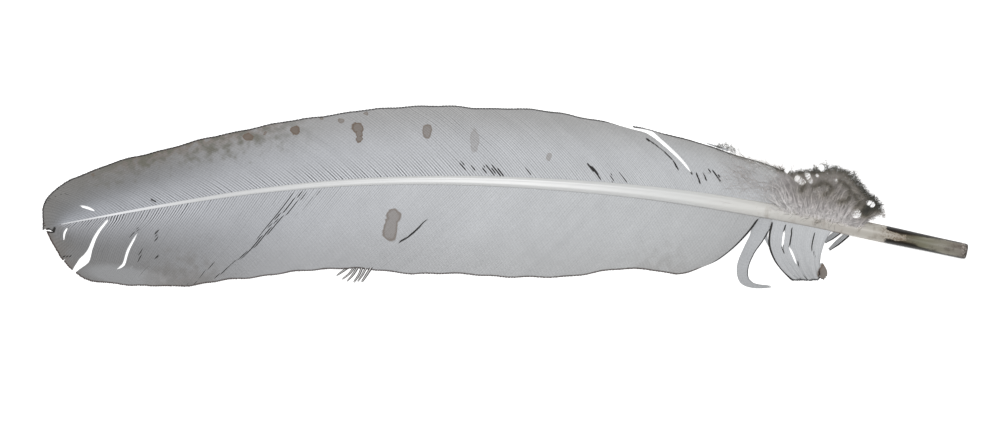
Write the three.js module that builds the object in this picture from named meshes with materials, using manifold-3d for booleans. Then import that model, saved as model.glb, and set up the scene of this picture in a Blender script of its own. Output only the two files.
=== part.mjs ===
// A goose's flight feather that lies on a level surface with its glossy back upwards. It has a quill shaft,
// a vane of barbs along each side of it, a tuft of down at the foot of one vane, and a few barbs that have come
// loose. All of it grew as one piece, so it is one solid. Lengths are in millimetres. +X runs towards the
// quill's cut end, +Y towards the vane that carries the down, and +Z up. The origin is on the surface, under
// the middle of the feather.

import * as THREE from 'three';
import { mergeVertices } from 'three/addons/utils/BufferGeometryUtils.js';
import Module from 'manifold-3d';

const wasm = await Module();
wasm.setup();

const { clamp, lerp, smoothstep } = THREE.MathUtils;

// The shaft. Its line seen from above is given by its y at equal steps from the cut end to the tip.
const QUILL_END_X = 160;
const SHAFT_TIP_X = -154;
const SHAFT_BOW = [-19.1, -11.7, -4.8, 0.6, 3.9, 5.5, 5.0, 2.0, -3.3, -9.6];
const BARREL_RADIUS = 2.8;
const SHAFT_TIP_RADIUS = 0.2;
const TAPER_START_X = 98;
const LEVEL_LENGTH = 15;
const CREST_X = -5;
const CREST_HEIGHT = 10.8;
const TIP_HEIGHT = 1.3;
const SHAFT_SIDES = 12;
const SHAFT_STEPS = 34;
const END_CHAMFER = 0.4;
const BORE_RADIUS = 1.9;
const BORE_DEPTH = 3;

// The vanes. Each row is one barb: the x where it leaves the shaft, then the x and y of its tip on the edge.
const UPPER_BARBS = [
  [104, 96, 10.4],
  [91.5, 76, 18.4],
  [69, 44, 24.8],
  [33, 6, 31],
  [-1.5, -29.5, 31.6],
  [-36.5, -64.5, 28],
  [-71, -99, 21.5],
  [-105.5, -134, 13],
  [-130, -152, 5.5],
  [-145.5, -160, -2.5],
  [-153.5, -160.4, -10.4],
];
const LOWER_BARBS = [
  [85.5, 67.5, -25.4],
  [74.5, 52, -26.8],
  [67.5, 43, -25.4],
  [33, 1.5, -28.4],
  [-1.5, -35.5, -27],
  [-36.5, -68, -26],
  [-71, -99.5, -30.4],
  [-105.5, -128.5, -31.6],
  [-128, -144.5, -29.9],
  [-142, -152, -23.5],
  [-150.5, -157.5, -15.5],
  [-153.5, -160.4, -9.6],
];
const BARB_BULGE = 0.06;
const FOOT_BULGE = 0.12;
const FOOT_SHARE = 0.2;
const VANE_LOCKS = 28;
const VANE_ROWS = 6;
const ROOT_THICKNESS = 0.7;
const EDGE_THICKNESS = 0.45;
const LOCK_RIDGE = 0.3;
const LOCK_NOTCH = 0.6;
const CAMBER_POWER = 1.7;
const ROOT_OFFSET = 0.3;
const EDGE_LIFT = 0.1;
const EDGE_WAVE = 0.9;
const EDGE_WAVES = 5;

// The down: a fan of soft locks from the shaft to the tuft's outline.
const DOWN_LOCKS = 15;
const DOWN_ROOTS_X = [92, 124];
const DOWN_OUTLINE = [
  [80, 16.2],
  [92, 11],
  [103, 9.6],
  [114, 10.6],
  [120, 8.6],
  [127, 2],
  [132, -3.4],
];
const DOWN_WIDTH = 6.4;
const DOWN_TAPER = 0.85;
const DOWN_ROOT_THICKNESS = 2.2;
const DOWN_TIP_THICKNESS = 0.4;
const DOWN_CROWN = 1.6;
const DOWN_TIP_HEIGHT = 0.8;
const DOWN_DROOP_POWER = 1.4;
const DOWN_BOW = 0.16;
const DOWN_SHORT_REACH = 0.94;
const DOWN_ROWS = 5;

// Loose barbs at the foot of the lower vane: the middle line of each, from inside the shaft outwards, and its
// width at even steps along that line.
const FOOT_BARBS = [
  {
    line: [[90.8, -6], [87.4, -13.5], [85, -17.8], [82.4, -24.2], [82.8, -28.6], [85.6, -30.9], [92, -31.4]],
    widths: [5.4, 4.7, 4.5, 4.2, 3.1, 1.6, 0.7],
  },
  {
    line: [[95, -7], [94.2, -16.1], [95.2, -21.3], [97.2, -25.4], [101, -28.6]],
    widths: [4.6, 4.6, 4.9, 5.4, 2.6],
  },
  {
    line: [[98.8, -7.6], [97.5, -16.6], [98.4, -20.6], [100.7, -25.2], [103.2, -28.8]],
    widths: [1.9, 2, 2.7, 3.6, 2.4],
  },
  {
    line: [[103.6, -8.6], [102.6, -17.1], [103.7, -21.3], [105.5, -25.4], [106.9, -28.8]],
    widths: [7.2, 7, 6.2, 5.4, 4],
  },
  {
    line: [[111.6, -10.4], [108.5, -16.8], [108.2, -20.9], [109, -24.4], [111, -27.8]],
    widths: [6.4, 2.8, 2.4, 3.2, 2.4],
  },
  { line: [[115.6, -11.4], [112.6, -14.2], [110.8, -15.6]], widths: [1.1, 1.1, 0.5] },
  { line: [[119.4, -12], [116.4, -15.6], [114, -17.6]], widths: [1.1, 1.1, 0.5] },
];

// Loose barbs that stick out of the lower vane's edge.
const EDGE_BARBS = [
  { line: [[-53.4, -23.2], [-55.6, -25.2], [-58.7, -27.6]], widths: [0.9, 0.8, 0.4] },
  { line: [[-51, -23.2], [-53.4, -26.8], [-56, -29.4]], widths: [1, 0.9, 0.4] },
  { line: [[-49.4, -23.2], [-50.6, -27], [-52, -29.8]], widths: [1, 0.9, 0.4] },
  { line: [[-45.8, -23.2], [-48, -26.8], [-50.2, -29.8]], widths: [1, 0.9, 0.4] },
];
const LOOSE_ROWS = 5;
const LOOSE_THICKNESS = 0.5;
const LOOSE_TIP_HEIGHT = 0.7;
const EDGE_BARB_HEIGHT = 1.7;

// Slits where barbs have parted, as middle lines and widths like those of the loose barbs.
const SLITS = [
  { line: [[-146.6, -3.3], [-144.6, -3.9], [-142.6, -4.7]], widths: [0.6, 1, 0.6] },
  { line: [[-151.7, -11.3], [-152.6, -13], [-153.2, -14.8]], widths: [0.5, 0.9, 0.5] },
  {
    line: [[-137.6, -8.6], [-141.5, -13.5], [-144, -18.5], [-146.1, -22.1], [-151.4, -27.4]],
    widths: [0.4, 0.9, 1.3, 2.8, 0.8],
  },
  { line: [[-128.1, -14], [-130.9, -19.1], [-131.9, -22.7], [-134.7, -24.9]], widths: [0.4, 1, 1, 0.4] },
  {
    line: [[67, 4], [65.7, 7.2], [62.8, 11.1], [59.3, 14.6], [54.8, 19.3], [51.5, 22.2], [36, 28.6]],
    widths: [0.8, 1, 1, 1, 1.2, 1.3, 1.4],
  },
  { line: [[-162.5, -10.8], [-160.2, -11.3], [-158.4, -11.6]], widths: [1.4, 1, 0.5] },
  { line: [[-154, -24.4], [-152.4, -22.6], [-151.6, -21.4]], widths: [1.6, 1.1, 0.5] },
];
const SLIT_ROWS = 6;
const SLIT_TOP = 20;
const SLIT_DEPTH = 25;

const MERGE_DISTANCE = 1e-4;

// Turns a three.js geometry into a closed solid with merged vertices and with its faces pointing out.
function solid(geometry) {
  const bare = new THREE.BufferGeometry();
  bare.setAttribute('position', geometry.getAttribute('position'));
  bare.setIndex(geometry.getIndex());
  const merged = mergeVertices(bare, MERGE_DISTANCE);
  const points = merged.getAttribute('position').array;
  const corner = (i) => new THREE.Vector3().fromArray(points, 3 * i);
  const index = merged.getIndex().array;
  const triangles = [];
  let volume = 0;
  for (let i = 0; i < index.length; i += 3) {
    const [a, b, c] = index.slice(i, i + 3);
    if (a !== b && b !== c && c !== a) {
      triangles.push([a, b, c]);
      volume += corner(a).dot(corner(b).cross(corner(c)));
    }
  }
  const outward = volume > 0 ? triangles : triangles.map(([a, b, c]) => [a, c, b]);
  return new wasm.Manifold(
    new wasm.Mesh({ numProp: 3, vertProperties: points, triVerts: new Uint32Array(outward.flat()) }),
  );
}

// A thin closed sheet: top(u, v) is its upper surface and thickness(u, v) its depth, u and v from 0 to 1.
function sheet(columns, rows, top, thickness) {
  const box = new THREE.BoxGeometry(1, 1, 1, columns, rows, 1);
  const position = box.getAttribute('position');
  for (let i = 0; i < position.count; i += 1) {
    const u = position.getX(i) + 0.5;
    const v = position.getY(i) + 0.5;
    const point = top(u, v);
    const below = (0.5 - position.getZ(i)) * thickness(u, v);
    position.setXYZ(i, point.x, point.y, point.z - below);
  }
  return solid(box);
}

const shaftLine = new THREE.CatmullRomCurve3(
  SHAFT_BOW.map((y, i) => {
    const x = lerp(QUILL_END_X, SHAFT_TIP_X, i / (SHAFT_BOW.length - 1));
    return new THREE.Vector3(x, y, 0);
  }),
  false,
  'catmullrom',
);

function shaftRadius(x) {
  const taper = clamp((TAPER_START_X - x) / (TAPER_START_X - SHAFT_TIP_X), 0, 1);
  return lerp(BARREL_RADIUS, SHAFT_TIP_RADIUS, taper);
}

// The barrel lies on the lowest of its flat sides. From there the shaft rises to a crest, then falls to the tip.
function shaftHeight(x) {
  const barrelHeight = BARREL_RADIUS * Math.cos(Math.PI / SHAFT_SIDES);
  const levelX = QUILL_END_X - LEVEL_LENGTH;
  if (x > CREST_X) {
    const rise = clamp((levelX - x) / (levelX - CREST_X), 0, 1);
    return lerp(barrelHeight, CREST_HEIGHT, (1 - Math.cos(Math.PI * rise)) / 2);
  }
  const fall = (CREST_X - x) / (CREST_X - SHAFT_TIP_X);
  return lerp(TIP_HEIGHT, CREST_HEIGHT, Math.cos((Math.PI / 2) * fall));
}

// A point beside the shaft's middle line: offset in radii towards +Y, and lift in radii upwards.
function shaftPoint(x, offset, lift) {
  const t = (QUILL_END_X - x) / (QUILL_END_X - SHAFT_TIP_X);
  const along = shaftLine.getTangent(clamp(t, 0, 1));
  const point = shaftLine.getPoint(clamp(t, 0, 1));
  const radius = shaftRadius(x);
  return new THREE.Vector3(
    point.x + along.y * offset * radius,
    point.y - along.x * offset * radius,
    shaftHeight(x) + lift * radius,
  );
}

// A turned spindle with a short bore in its cut end, bent along the shaft's line.
function shaft() {
  const levelX = QUILL_END_X - LEVEL_LENGTH;
  const profile = [
    new THREE.Vector2(0, QUILL_END_X - BORE_DEPTH),
    new THREE.Vector2(BORE_RADIUS, QUILL_END_X - BORE_DEPTH),
    new THREE.Vector2(BORE_RADIUS, QUILL_END_X),
    new THREE.Vector2(BARREL_RADIUS - END_CHAMFER, QUILL_END_X),
    new THREE.Vector2(BARREL_RADIUS, QUILL_END_X - END_CHAMFER),
  ];
  for (let i = 0; i < SHAFT_STEPS; i += 1) {
    const x = lerp(levelX, SHAFT_TIP_X, i / (SHAFT_STEPS - 1));
    profile.push(new THREE.Vector2(shaftRadius(x), x));
  }
  profile.push(new THREE.Vector2(0, SHAFT_TIP_X));
  const spindle = new THREE.LatheGeometry(profile, SHAFT_SIDES, Math.PI / SHAFT_SIDES);
  const position = spindle.getAttribute('position');
  for (let i = 0; i < position.count; i += 1) {
    const x = position.getY(i);
    const radius = shaftRadius(x);
    const point = shaftPoint(x, position.getX(i) / radius, position.getZ(i) / radius);
    position.setXYZ(i, point.x, point.y, point.z);
  }
  return solid(spindle);
}

// One vane: a sheet folded into locks, each a shallow ridge of barbs whose tips end in a notched edge.
function vane(barbs, side) {
  const stations = new THREE.CatmullRomCurve3(barbs.map((barb) => new THREE.Vector3(...barb)));
  const thickness = (u, v) => lerp(ROOT_THICKNESS, EDGE_THICKNESS, v);
  const top = (u, v) => {
    const barb = stations.getPointAt(u);
    const ridge = Math.abs(Math.sin(Math.PI * VANE_LOCKS * u));
    const root = shaftPoint(barb.x, side * ROOT_OFFSET, ROOT_OFFSET);
    const edge = new THREE.Vector3(barb.y, barb.z, 0);
    const chord = edge.clone().sub(root).setZ(0);
    const length = chord.length() - LOCK_NOTCH * (1 - ridge);
    const across = new THREE.Vector3(chord.y, -chord.x, 0).normalize().multiplyScalar(side);
    chord.setLength(length * v);
    const bulge = lerp(FOOT_BULGE, BARB_BULGE, smoothstep(u, 0, FOOT_SHARE));
    const bow = bulge * length * 4 * v * (1 - v);
    const point = root.clone().add(chord).addScaledVector(across, bow);
    const edgeHeight = EDGE_THICKNESS + EDGE_LIFT + EDGE_WAVE * Math.sin(Math.PI * EDGE_WAVES * u) ** 2;
    const camber = lerp(root.z, Math.min(edgeHeight, root.z), v ** CAMBER_POWER);
    return point.setZ(camber + LOCK_RIDGE * ridge * v);
  };
  return sheet(2 * VANE_LOCKS, VANE_ROWS, top, thickness);
}

// The width at any v from 0 to 1 along a line that has widths at even steps.
function widthAt(widths, v) {
  const place = v * (widths.length - 1);
  const i = Math.min(Math.floor(place), widths.length - 2);
  return lerp(widths[i], widths[i + 1], place - i);
}

// A band of the given widths along a line seen from above, with its top at height(v).
function band({ line, widths }, rows, height, depth) {
  const middle = new THREE.CatmullRomCurve3(line.map(([x, y]) => new THREE.Vector3(x, y, 0)));
  const top = (u, v) => {
    const along = middle.getTangent(v);
    const offset = (u - 0.5) * widthAt(widths, v);
    const point = middle.getPoint(v);
    return point.set(point.x - along.y * offset, point.y + along.x * offset, height(v));
  };
  return sheet(2, rows, top, () => depth);
}

// A loose barb droops from the height of its root until its end lies on the surface.
function looseBarb(barb, rootHeight) {
  const height = (v) => lerp(rootHeight, LOOSE_TIP_HEIGHT, smoothstep(v, 0, 1));
  return band(barb, LOOSE_ROWS, height, LOOSE_THICKNESS);
}

// A lock of down: a soft blade that rises from the shaft, bows over and tapers to the tuft's outline.
function downLock(root, tip) {
  const chord = tip.clone().sub(root).setZ(0);
  const across = new THREE.Vector3(-chord.y, chord.x, 0).normalize();
  const top = (u, v) => {
    const spread = (u - 0.5) * DOWN_WIDTH * Math.sqrt(1 - DOWN_TAPER * v * v);
    const bow = DOWN_BOW * chord.length() * Math.sin(Math.PI * v);
    const point = root.clone().addScaledVector(chord, v).addScaledVector(across, spread + bow);
    const crown = DOWN_CROWN * Math.sin(Math.PI * v) * (1 - (2 * u - 1) ** 2);
    return point.setZ(lerp(root.z, DOWN_TIP_HEIGHT, v ** DOWN_DROOP_POWER) + crown);
  };
  return sheet(2, DOWN_ROWS, top, (u, v) => lerp(DOWN_ROOT_THICKNESS, DOWN_TIP_THICKNESS, v));
}

function down() {
  const outline = new THREE.CatmullRomCurve3(DOWN_OUTLINE.map(([x, y]) => new THREE.Vector3(x, y, 0)));
  const locks = [];
  for (let i = 0; i < DOWN_LOCKS; i += 1) {
    const t = i / (DOWN_LOCKS - 1);
    const root = shaftPoint(lerp(...DOWN_ROOTS_X, t), ROOT_OFFSET, ROOT_OFFSET);
    const reach = i % 2 ? DOWN_SHORT_REACH : 1;
    locks.push(downLock(root, root.clone().lerp(outline.getPoint(t), reach)));
  }
  return locks;
}

const whole = [
  shaft(),
  vane(UPPER_BARBS, 1),
  vane(LOWER_BARBS, -1),
  ...down(),
  ...FOOT_BARBS.map((barb) => looseBarb(barb, shaftHeight(barb.line[0][0]))),
  ...EDGE_BARBS.map((barb) => looseBarb(barb, EDGE_BARB_HEIGHT)),
].reduce((joined, piece) => joined.add(piece));

const torn = SLITS.map((slit) => band(slit, SLIT_ROWS, () => SLIT_TOP, SLIT_DEPTH)).reduce(
  (joined, slit) => joined.subtract(slit),
  whole,
);

// Keeping the largest skin alone fills the small hollows between overlapping locks.
const [body] = torn.decompose().sort((a, b) => b.volume() - a.volume());
const { vertProperties, triVerts } = body.getMesh();
const geometry = new THREE.BufferGeometry();
geometry.setAttribute('position', new THREE.BufferAttribute(vertProperties, 3));
geometry.setIndex(new THREE.BufferAttribute(triVerts, 1));
geometry.computeVertexNormals();

const keratin = new THREE.MeshStandardMaterial({ color: 0xb8bcc0, roughness: 0.55, metalness: 0 });
const feather = new THREE.Mesh(geometry, keratin);
feather.name = 'feather';

const group = new THREE.Group();
group.add(feather);
export default group;
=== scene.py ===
"""A goose's flight feather, lying on a pale table with its glossy back upwards.

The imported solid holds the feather's size and place. This script dresses it: a horn shaft, two vanes in which
every barb is a mesh of its own, the tuft of down at the foot, and the barbs that have come loose. Lengths are
in millimetres until a mesh is made. +X runs towards the quill's cut end, +Y towards the vane that carries the
down.
"""

import logging
import math
from dataclasses import dataclass, field
from enum import Enum

import bpy
import numpy as np
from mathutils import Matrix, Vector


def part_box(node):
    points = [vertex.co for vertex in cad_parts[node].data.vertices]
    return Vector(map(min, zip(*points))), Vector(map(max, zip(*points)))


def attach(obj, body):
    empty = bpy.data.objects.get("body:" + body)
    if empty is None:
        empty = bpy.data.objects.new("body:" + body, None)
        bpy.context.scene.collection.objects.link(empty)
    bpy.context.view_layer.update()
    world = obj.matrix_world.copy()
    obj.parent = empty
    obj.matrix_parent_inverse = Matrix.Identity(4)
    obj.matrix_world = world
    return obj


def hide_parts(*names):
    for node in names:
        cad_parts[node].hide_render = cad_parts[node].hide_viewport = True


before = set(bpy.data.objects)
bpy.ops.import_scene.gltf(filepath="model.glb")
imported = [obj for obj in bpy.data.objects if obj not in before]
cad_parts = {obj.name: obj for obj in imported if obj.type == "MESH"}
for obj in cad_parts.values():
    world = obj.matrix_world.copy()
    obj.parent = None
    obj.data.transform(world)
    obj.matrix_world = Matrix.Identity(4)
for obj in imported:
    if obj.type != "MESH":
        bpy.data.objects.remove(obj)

LOG = logging.getLogger("feather")
MM = 0.001
BODY = "root"
NODE = "feather"

Place = tuple[float, float]
Stop = tuple[float, str]


class Side(Enum):
    """The side of the shaft, as the sign of its Y."""

    UPPER = 1
    LOWER = -1


class Slot(Enum):
    """The record's material slots."""

    BARBS = "barb_keratin"
    SHAFT = "shaft_keratin"
    DOWN = "down"


class Slit(Enum):
    """How barbs have parted: right through the vane; closed, shown only by painted shade in the seams along
    them; or crossing, shown by one line of painted shade over them.
    """

    OPEN = "open"
    CLOSED = "closed"
    CROSSING = "crossing"


def linear(hex_colour: str) -> tuple[float, float, float, float]:
    """Turns an sRGB colour into a linear one.

    Args:
        hex_colour: Six hex digits, such as "b8bcc0".

    Returns:
        Red, green, blue and an alpha of one.
    """
    shares = [int(hex_colour[i : i + 2], 16) / 255 for i in (0, 2, 4)]
    return (*[c / 12.92 if c <= 0.04045 else ((c + 0.055) / 1.055) ** 2.4 for c in shares], 1.0)


def smooth(low: float, high: float, value: np.ndarray) -> np.ndarray:
    """Eases a value from 0 at low to 1 at high.

    Args:
        low: Where the result leaves 0.
        high: Where the result reaches 1.
        value: The values to ease.

    Returns:
        An array of the same shape, from 0 to 1.
    """
    share = np.clip((np.asarray(value, float) - low) / (high - low), 0, 1)
    return share * share * (3 - 2 * share)


def unit(vectors: np.ndarray) -> np.ndarray:
    """Scales vectors in the last axis to length one."""
    return vectors / np.maximum(np.linalg.norm(vectors, axis=-1, keepdims=True), 1e-9)


def drift(rng: np.random.Generator, count: int, step: int) -> np.ndarray:
    """Makes a slowly changing random row.

    Args:
        rng: The source of chance.
        count: How many values are wanted.
        step: How many values lie between two fresh draws.

    Returns:
        The values, each from -1 to 1.
    """
    draws = rng.uniform(-1, 1, count // step + 3)
    return np.interp(np.arange(count) / step, np.arange(len(draws)), draws)


# ---------------------------------------------------------------------------------------------- making meshes


@dataclass
class Curve:
    """A Catmull-Rom curve through its knots, with each end knot's neighbour mirrored past it."""

    knots: tuple
    centripetal: bool = True
    samples: int = 48
    line: np.ndarray = field(init=False)
    lengths: np.ndarray = field(init=False)

    def __post_init__(self) -> None:
        """Samples the curve densely."""
        knots = np.asarray(self.knots, float)
        hull = np.vstack([2 * knots[0] - knots[1], knots, 2 * knots[-1] - knots[-2]])
        gaps = np.linalg.norm(np.diff(hull, axis=0), axis=1)
        steps = np.sqrt(gaps) if self.centripetal else np.ones(len(gaps))
        t = (np.arange(self.samples) / self.samples)[:, None]
        spans = []
        for i in range(len(knots) - 1):
            p0, p1, p2, p3 = hull[i : i + 4]
            d0, d1, d2 = steps[i : i + 3]
            leave = ((p1 - p0) / d0 - (p2 - p0) / (d0 + d1) + (p2 - p1) / d1) * d1
            arrive = ((p2 - p1) / d1 - (p3 - p1) / (d1 + d2) + (p3 - p2) / d2) * d1
            spans.append(
                p1
                + leave * t
                + (3 * (p2 - p1) - 2 * leave - arrive) * t**2
                + (2 * (p1 - p2) + leave + arrive) * t**3
            )
        self.line = np.vstack([*spans, knots[-1:]])
        self.lengths = np.concatenate([[0], np.cumsum(np.linalg.norm(np.diff(self.line, axis=0), axis=1))])

    def _read(self, place: np.ndarray, scale: np.ndarray) -> np.ndarray:
        """Reads the sampled line at places on a scale of its samples."""
        return np.stack([np.interp(place, scale, column) for column in self.line.T], axis=-1)

    def at(self, share: np.ndarray) -> np.ndarray:
        """Returns points at shares of the way, where each span between knots counts the same."""
        return self._read(share, np.linspace(0, 1, len(self.line)))

    def at_length(self, share: np.ndarray) -> np.ndarray:
        """Returns points at shares of the curve's length."""
        return self._read(share, self.lengths / self.lengths[-1])

    def direction(self, share: np.ndarray) -> np.ndarray:
        """Returns the unit direction at the same shares as at()."""
        share = np.asarray(share, float)
        step = 0.5 / (len(self.line) - 1)
        return unit(self.at(np.clip(share + step, 0, 1)) - self.at(np.clip(share - step, 0, 1)))


@dataclass
class Draft:
    """One piece while it is made: its points, faces, values at the points, and places on the baked picture.
    """

    points: list = field(default_factory=list)
    faces: list = field(default_factory=list)
    spots: list = field(default_factory=list)
    creases: list = field(default_factory=list)
    values: dict = field(default_factory=dict)
    count: int = 0
    strands: int = 0

    def add_strands(
        self,
        rings: np.ndarray,
        values: dict,
        shade_spots: bool = False,
    ) -> None:
        """Adds closed strands, each skinned round its rings and capped at both ends.

        Args:
            rings: Points of shape (strands, rings, points round, 3).
            values: For each value's name, an array that fits (strands, rings, points round).
            shade_spots: Whether a strand's place on the baked picture is its (tone, reach), which is right
                where those two alone give its colour. Otherwise each strand has a stripe of its own.
        """
        strands, length, around, _ = rings.shape
        shape = (strands, length, around)
        for name, value in values.items():
            self.values.setdefault(name, []).append(np.broadcast_to(value, shape).ravel())
        index = self.count + np.arange(strands * length * around).reshape(shape)
        self.points.append(rings.reshape(-1, 3))
        self.count += index.size
        # A barb is creased along both borders, so that its back and its underside are shaded apart.
        border = np.zeros(shape, int)
        if around == 4:
            border[:, :, 0] = 2 * (self.strands + np.arange(strands))[:, None] + 1
            border[:, :, 2] = 2 * (self.strands + np.arange(strands))[:, None] + 2
        self.creases.append(border.ravel())
        if shade_spots:
            tone = np.broadcast_to(values["tone"], shape)[:, :, 0]
            reach = np.broadcast_to(values["reach"], shape)[:, :, 0]
        for j in range(around):
            k = (j + 1) % around
            quads = np.stack([index[:, :-1, j], index[:, :-1, k], index[:, 1:, k], index[:, 1:, j]], axis=-1)
            self.faces.append(quads.reshape(-1, 4))
            if shade_spots:
                us = [np.clip(tone, 0, 1) * 0.96 + 0.01 * (1 + side) for side in (0, 1, 1, 0)]
                vs = [np.clip(reach, 0, 1) * 0.98 + 0.01] * 4
                cut = [slice(None, -1), slice(None, -1), slice(1, None), slice(1, None)]
                spot = np.stack([np.stack([u[:, c], v[:, c]], -1) for u, v, c in zip(us, vs, cut)], axis=-2)
                self.spots.append(spot.reshape(-1, 4, 2))
                continue
            top = j < around // 2
            half = around // 2
            sides = [(j % half) / half, (j % half + 1) / half]
            own = self.strands + np.arange(strands)[:, None]
            rise = np.linspace(0.005, 0.495, length)[None, :] + (0 if top else 0.5)
            corners = []
            for side, rows in (
                (0, slice(None, -1)), (1, slice(None, -1)), (1, slice(1, None)), (0, slice(1, None))
            ):
                u = np.broadcast_to(own + 0.06 + 0.88 * sides[side], (strands, length - 1))
                v = np.broadcast_to(rise[:, rows], (strands, length - 1))
                corners.append(np.stack([u, v], axis=-1))
            self.spots.append(np.stack(corners, axis=-2).reshape(-1, 4, 2))
        for ring, order in ((0, slice(None, None, -1)), (-1, slice(None))):
            cap = index[:, ring, order]
            self.faces.append(cap)
            if shade_spots:
                u, v = np.clip(tone[:, ring], 0, 1) * 0.96 + 0.01, np.clip(reach[:, ring], 0, 1) * 0.98 + 0.01
            else:
                u = self.strands + np.arange(strands) + 0.3
                v = np.full(strands, 0.006 if ring == 0 else 0.49)
            turn = 2 * math.pi * np.arange(around) / around
            offset = np.stack(
                [0.3 * np.cos(turn) * (0.02 if shade_spots else 1), 0.003 * np.sin(turn)], axis=-1
            )
            self.spots.append(np.stack([u, v], axis=-1)[:, None, :] + offset[None])
        self.strands += strands

    def piece(
        self, name: str, material: bpy.types.Material, stripes: bool = True
    ) -> bpy.types.Object:
        """Makes the Blender object, sets it on the frame and reports it.

        Args:
            name: The piece's name.
            material: Its finish.
            stripes: Whether the places on the baked picture count strands, so that they have to be scaled.

        Returns:
            The new object.
        """
        mesh = bpy.data.meshes.new(name)
        points = np.vstack(self.points) * MM
        corners = np.concatenate([f.ravel() for f in self.faces])
        sizes = np.concatenate([np.full(len(f), f.shape[1]) for f in self.faces])
        mesh.vertices.add(len(points))
        mesh.vertices.foreach_set("co", points.ravel().astype(np.float32))
        mesh.loops.add(len(corners))
        mesh.loops.foreach_set("vertex_index", corners.astype(np.int32))
        mesh.polygons.add(len(sizes))
        mesh.polygons.foreach_set("loop_start", np.concatenate([[0], np.cumsum(sizes)[:-1]]).astype(np.int32))
        mesh.update(calc_edges=True)
        mesh.shade_smooth()
        ends = np.empty(2 * len(mesh.edges), np.int32)
        mesh.edges.foreach_get("vertices", ends)
        border = np.concatenate(self.creases)[ends.reshape(-1, 2)]
        sharp = (border[:, 0] > 0) & (border[:, 0] == border[:, 1])
        mesh.attributes.new("sharp_edge", "BOOLEAN", "EDGE").data.foreach_set("value", sharp)
        for value_name, parts in self.values.items():
            layer = mesh.attributes.new(value_name, "FLOAT", "POINT")
            layer.data.foreach_set("value", np.concatenate(parts).astype(np.float32))
        spots = np.vstack([s.reshape(-1, 2) for s in self.spots])
        if stripes:
            spots = spots / (self.strands, 1)
        mesh.uv_layers.new(name="OFBake").data.foreach_set("uv", spots.ravel().astype(np.float32))
        mesh.materials.append(material)
        made = bpy.data.objects.new(name, mesh)
        bpy.context.scene.collection.objects.link(made)
        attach(made, BODY)
        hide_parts(NODE)
        LOG.info("%s: %d strands, %d faces", name, self.strands, len(sizes))
        return made


def barb_rings(
    left: np.ndarray, middle: np.ndarray, right: np.ndarray, ridge: float, depth: float
) -> np.ndarray:
    """Makes the roof-shaped rings of barbs from their borders and middle lines.

    Args:
        left: The left borders, of shape (barbs, rings, 3).
        middle: The middle lines, which become the ridges.
        right: The right borders.
        ridge: How far the ridge stands over the borders.
        depth: How thick the barb is under its borders.

    Returns:
        Rings of shape (barbs, rings, 4, 3).
    """
    rings = np.stack([left, middle, right, middle], axis=2)
    rings[:, :, 0, 2] -= ridge
    rings[:, :, 2, 2] -= ridge
    rings[:, :, 3, 2] -= ridge + depth
    rings[..., 2] = np.maximum(rings[..., 2], 0.02)
    return rings


def hair_rings(lines: np.ndarray, widths: np.ndarray) -> np.ndarray:
    """Makes three-sided rings round hairs.

    Args:
        lines: The middle lines, of shape (hairs, rings, 3).
        widths: The hairs' widths, which fit (hairs, rings).

    Returns:
        Rings of shape (hairs, rings, 3, 3).
    """
    along = unit(np.gradient(lines, axis=1))
    across = unit(np.cross(along, np.array([0.0, 0.0, 1.0])))
    up = np.cross(across, along)
    half = np.broadcast_to(widths, lines.shape[:2])[..., None] / 2
    rings = np.stack([lines - across * half, lines + up * half * 1.2, lines + across * half], axis=2)
    rings[..., 2] = np.maximum(rings[..., 2], 0.02)
    return rings


# --------------------------------------------------------------------------------------------------- finishes


def add_node(
    tree: bpy.types.NodeTree,
    kind: str,
    values: dict | None = None,
    links: dict | None = None,
    stops: tuple[Stop, ...] | None = None,
    **settings: object,
) -> bpy.types.Node:
    """Adds a node with its settings and links.

    Args:
        tree: The material's node tree.
        kind: The node's type.
        values: Numbers or colours by input name or index.
        links: Output sockets by the name or index of the input that each feeds.
        stops: A colour ramp's stops, as places from 0 to 1 and hex colours.
        **settings: The node's own properties.

    Returns:
        The new node.
    """
    node = tree.nodes.new(kind)
    for name, setting in settings.items():
        setattr(node, name, setting)
    for socket, value in (values or {}).items():
        node.inputs[socket].default_value = value
    for socket, source in (links or {}).items():
        tree.links.new(source, node.inputs[socket])
    if stops:
        ramp = node.color_ramp
        for i, (place, colour) in enumerate(stops):
            stop = ramp.elements[i] if i < 2 else ramp.elements.new(place)
            stop.position = place
            stop.color = linear(colour)
    return node


def new_material(name: str) -> tuple[bpy.types.Material, bpy.types.NodeTree]:
    """Makes an empty node material.

    Args:
        name: Its name.

    Returns:
        The material and its node tree, which holds no nodes yet.
    """
    material = bpy.data.materials.new(name)
    material.use_nodes = True
    material.node_tree.nodes.clear()
    return material, material.node_tree


def close_material(tree: bpy.types.NodeTree, shader: bpy.types.NodeSocket) -> None:
    """Feeds a shader to a new material output."""
    add_node(tree, "ShaderNodeOutputMaterial", links={"Surface": shader})


def ease(
    tree: bpy.types.NodeTree, value: bpy.types.NodeSocket, low: float, high: float, top: float = 1.0
) -> bpy.types.NodeSocket:
    """Eases a value from 0 at low to a top at high.

    Args:
        tree: The material's node tree.
        value: The value's socket.
        low: Where the result leaves 0. It may be above high.
        high: Where the result reaches the top.
        top: The result's highest value.

    Returns:
        The result's socket.
    """
    return add_node(
        tree,
        "ShaderNodeMapRange",
        values={"From Min": low, "From Max": high, "To Max": top},
        links={"Value": value},
        interpolation_type="SMOOTHSTEP",
    ).outputs["Result"]


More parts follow.
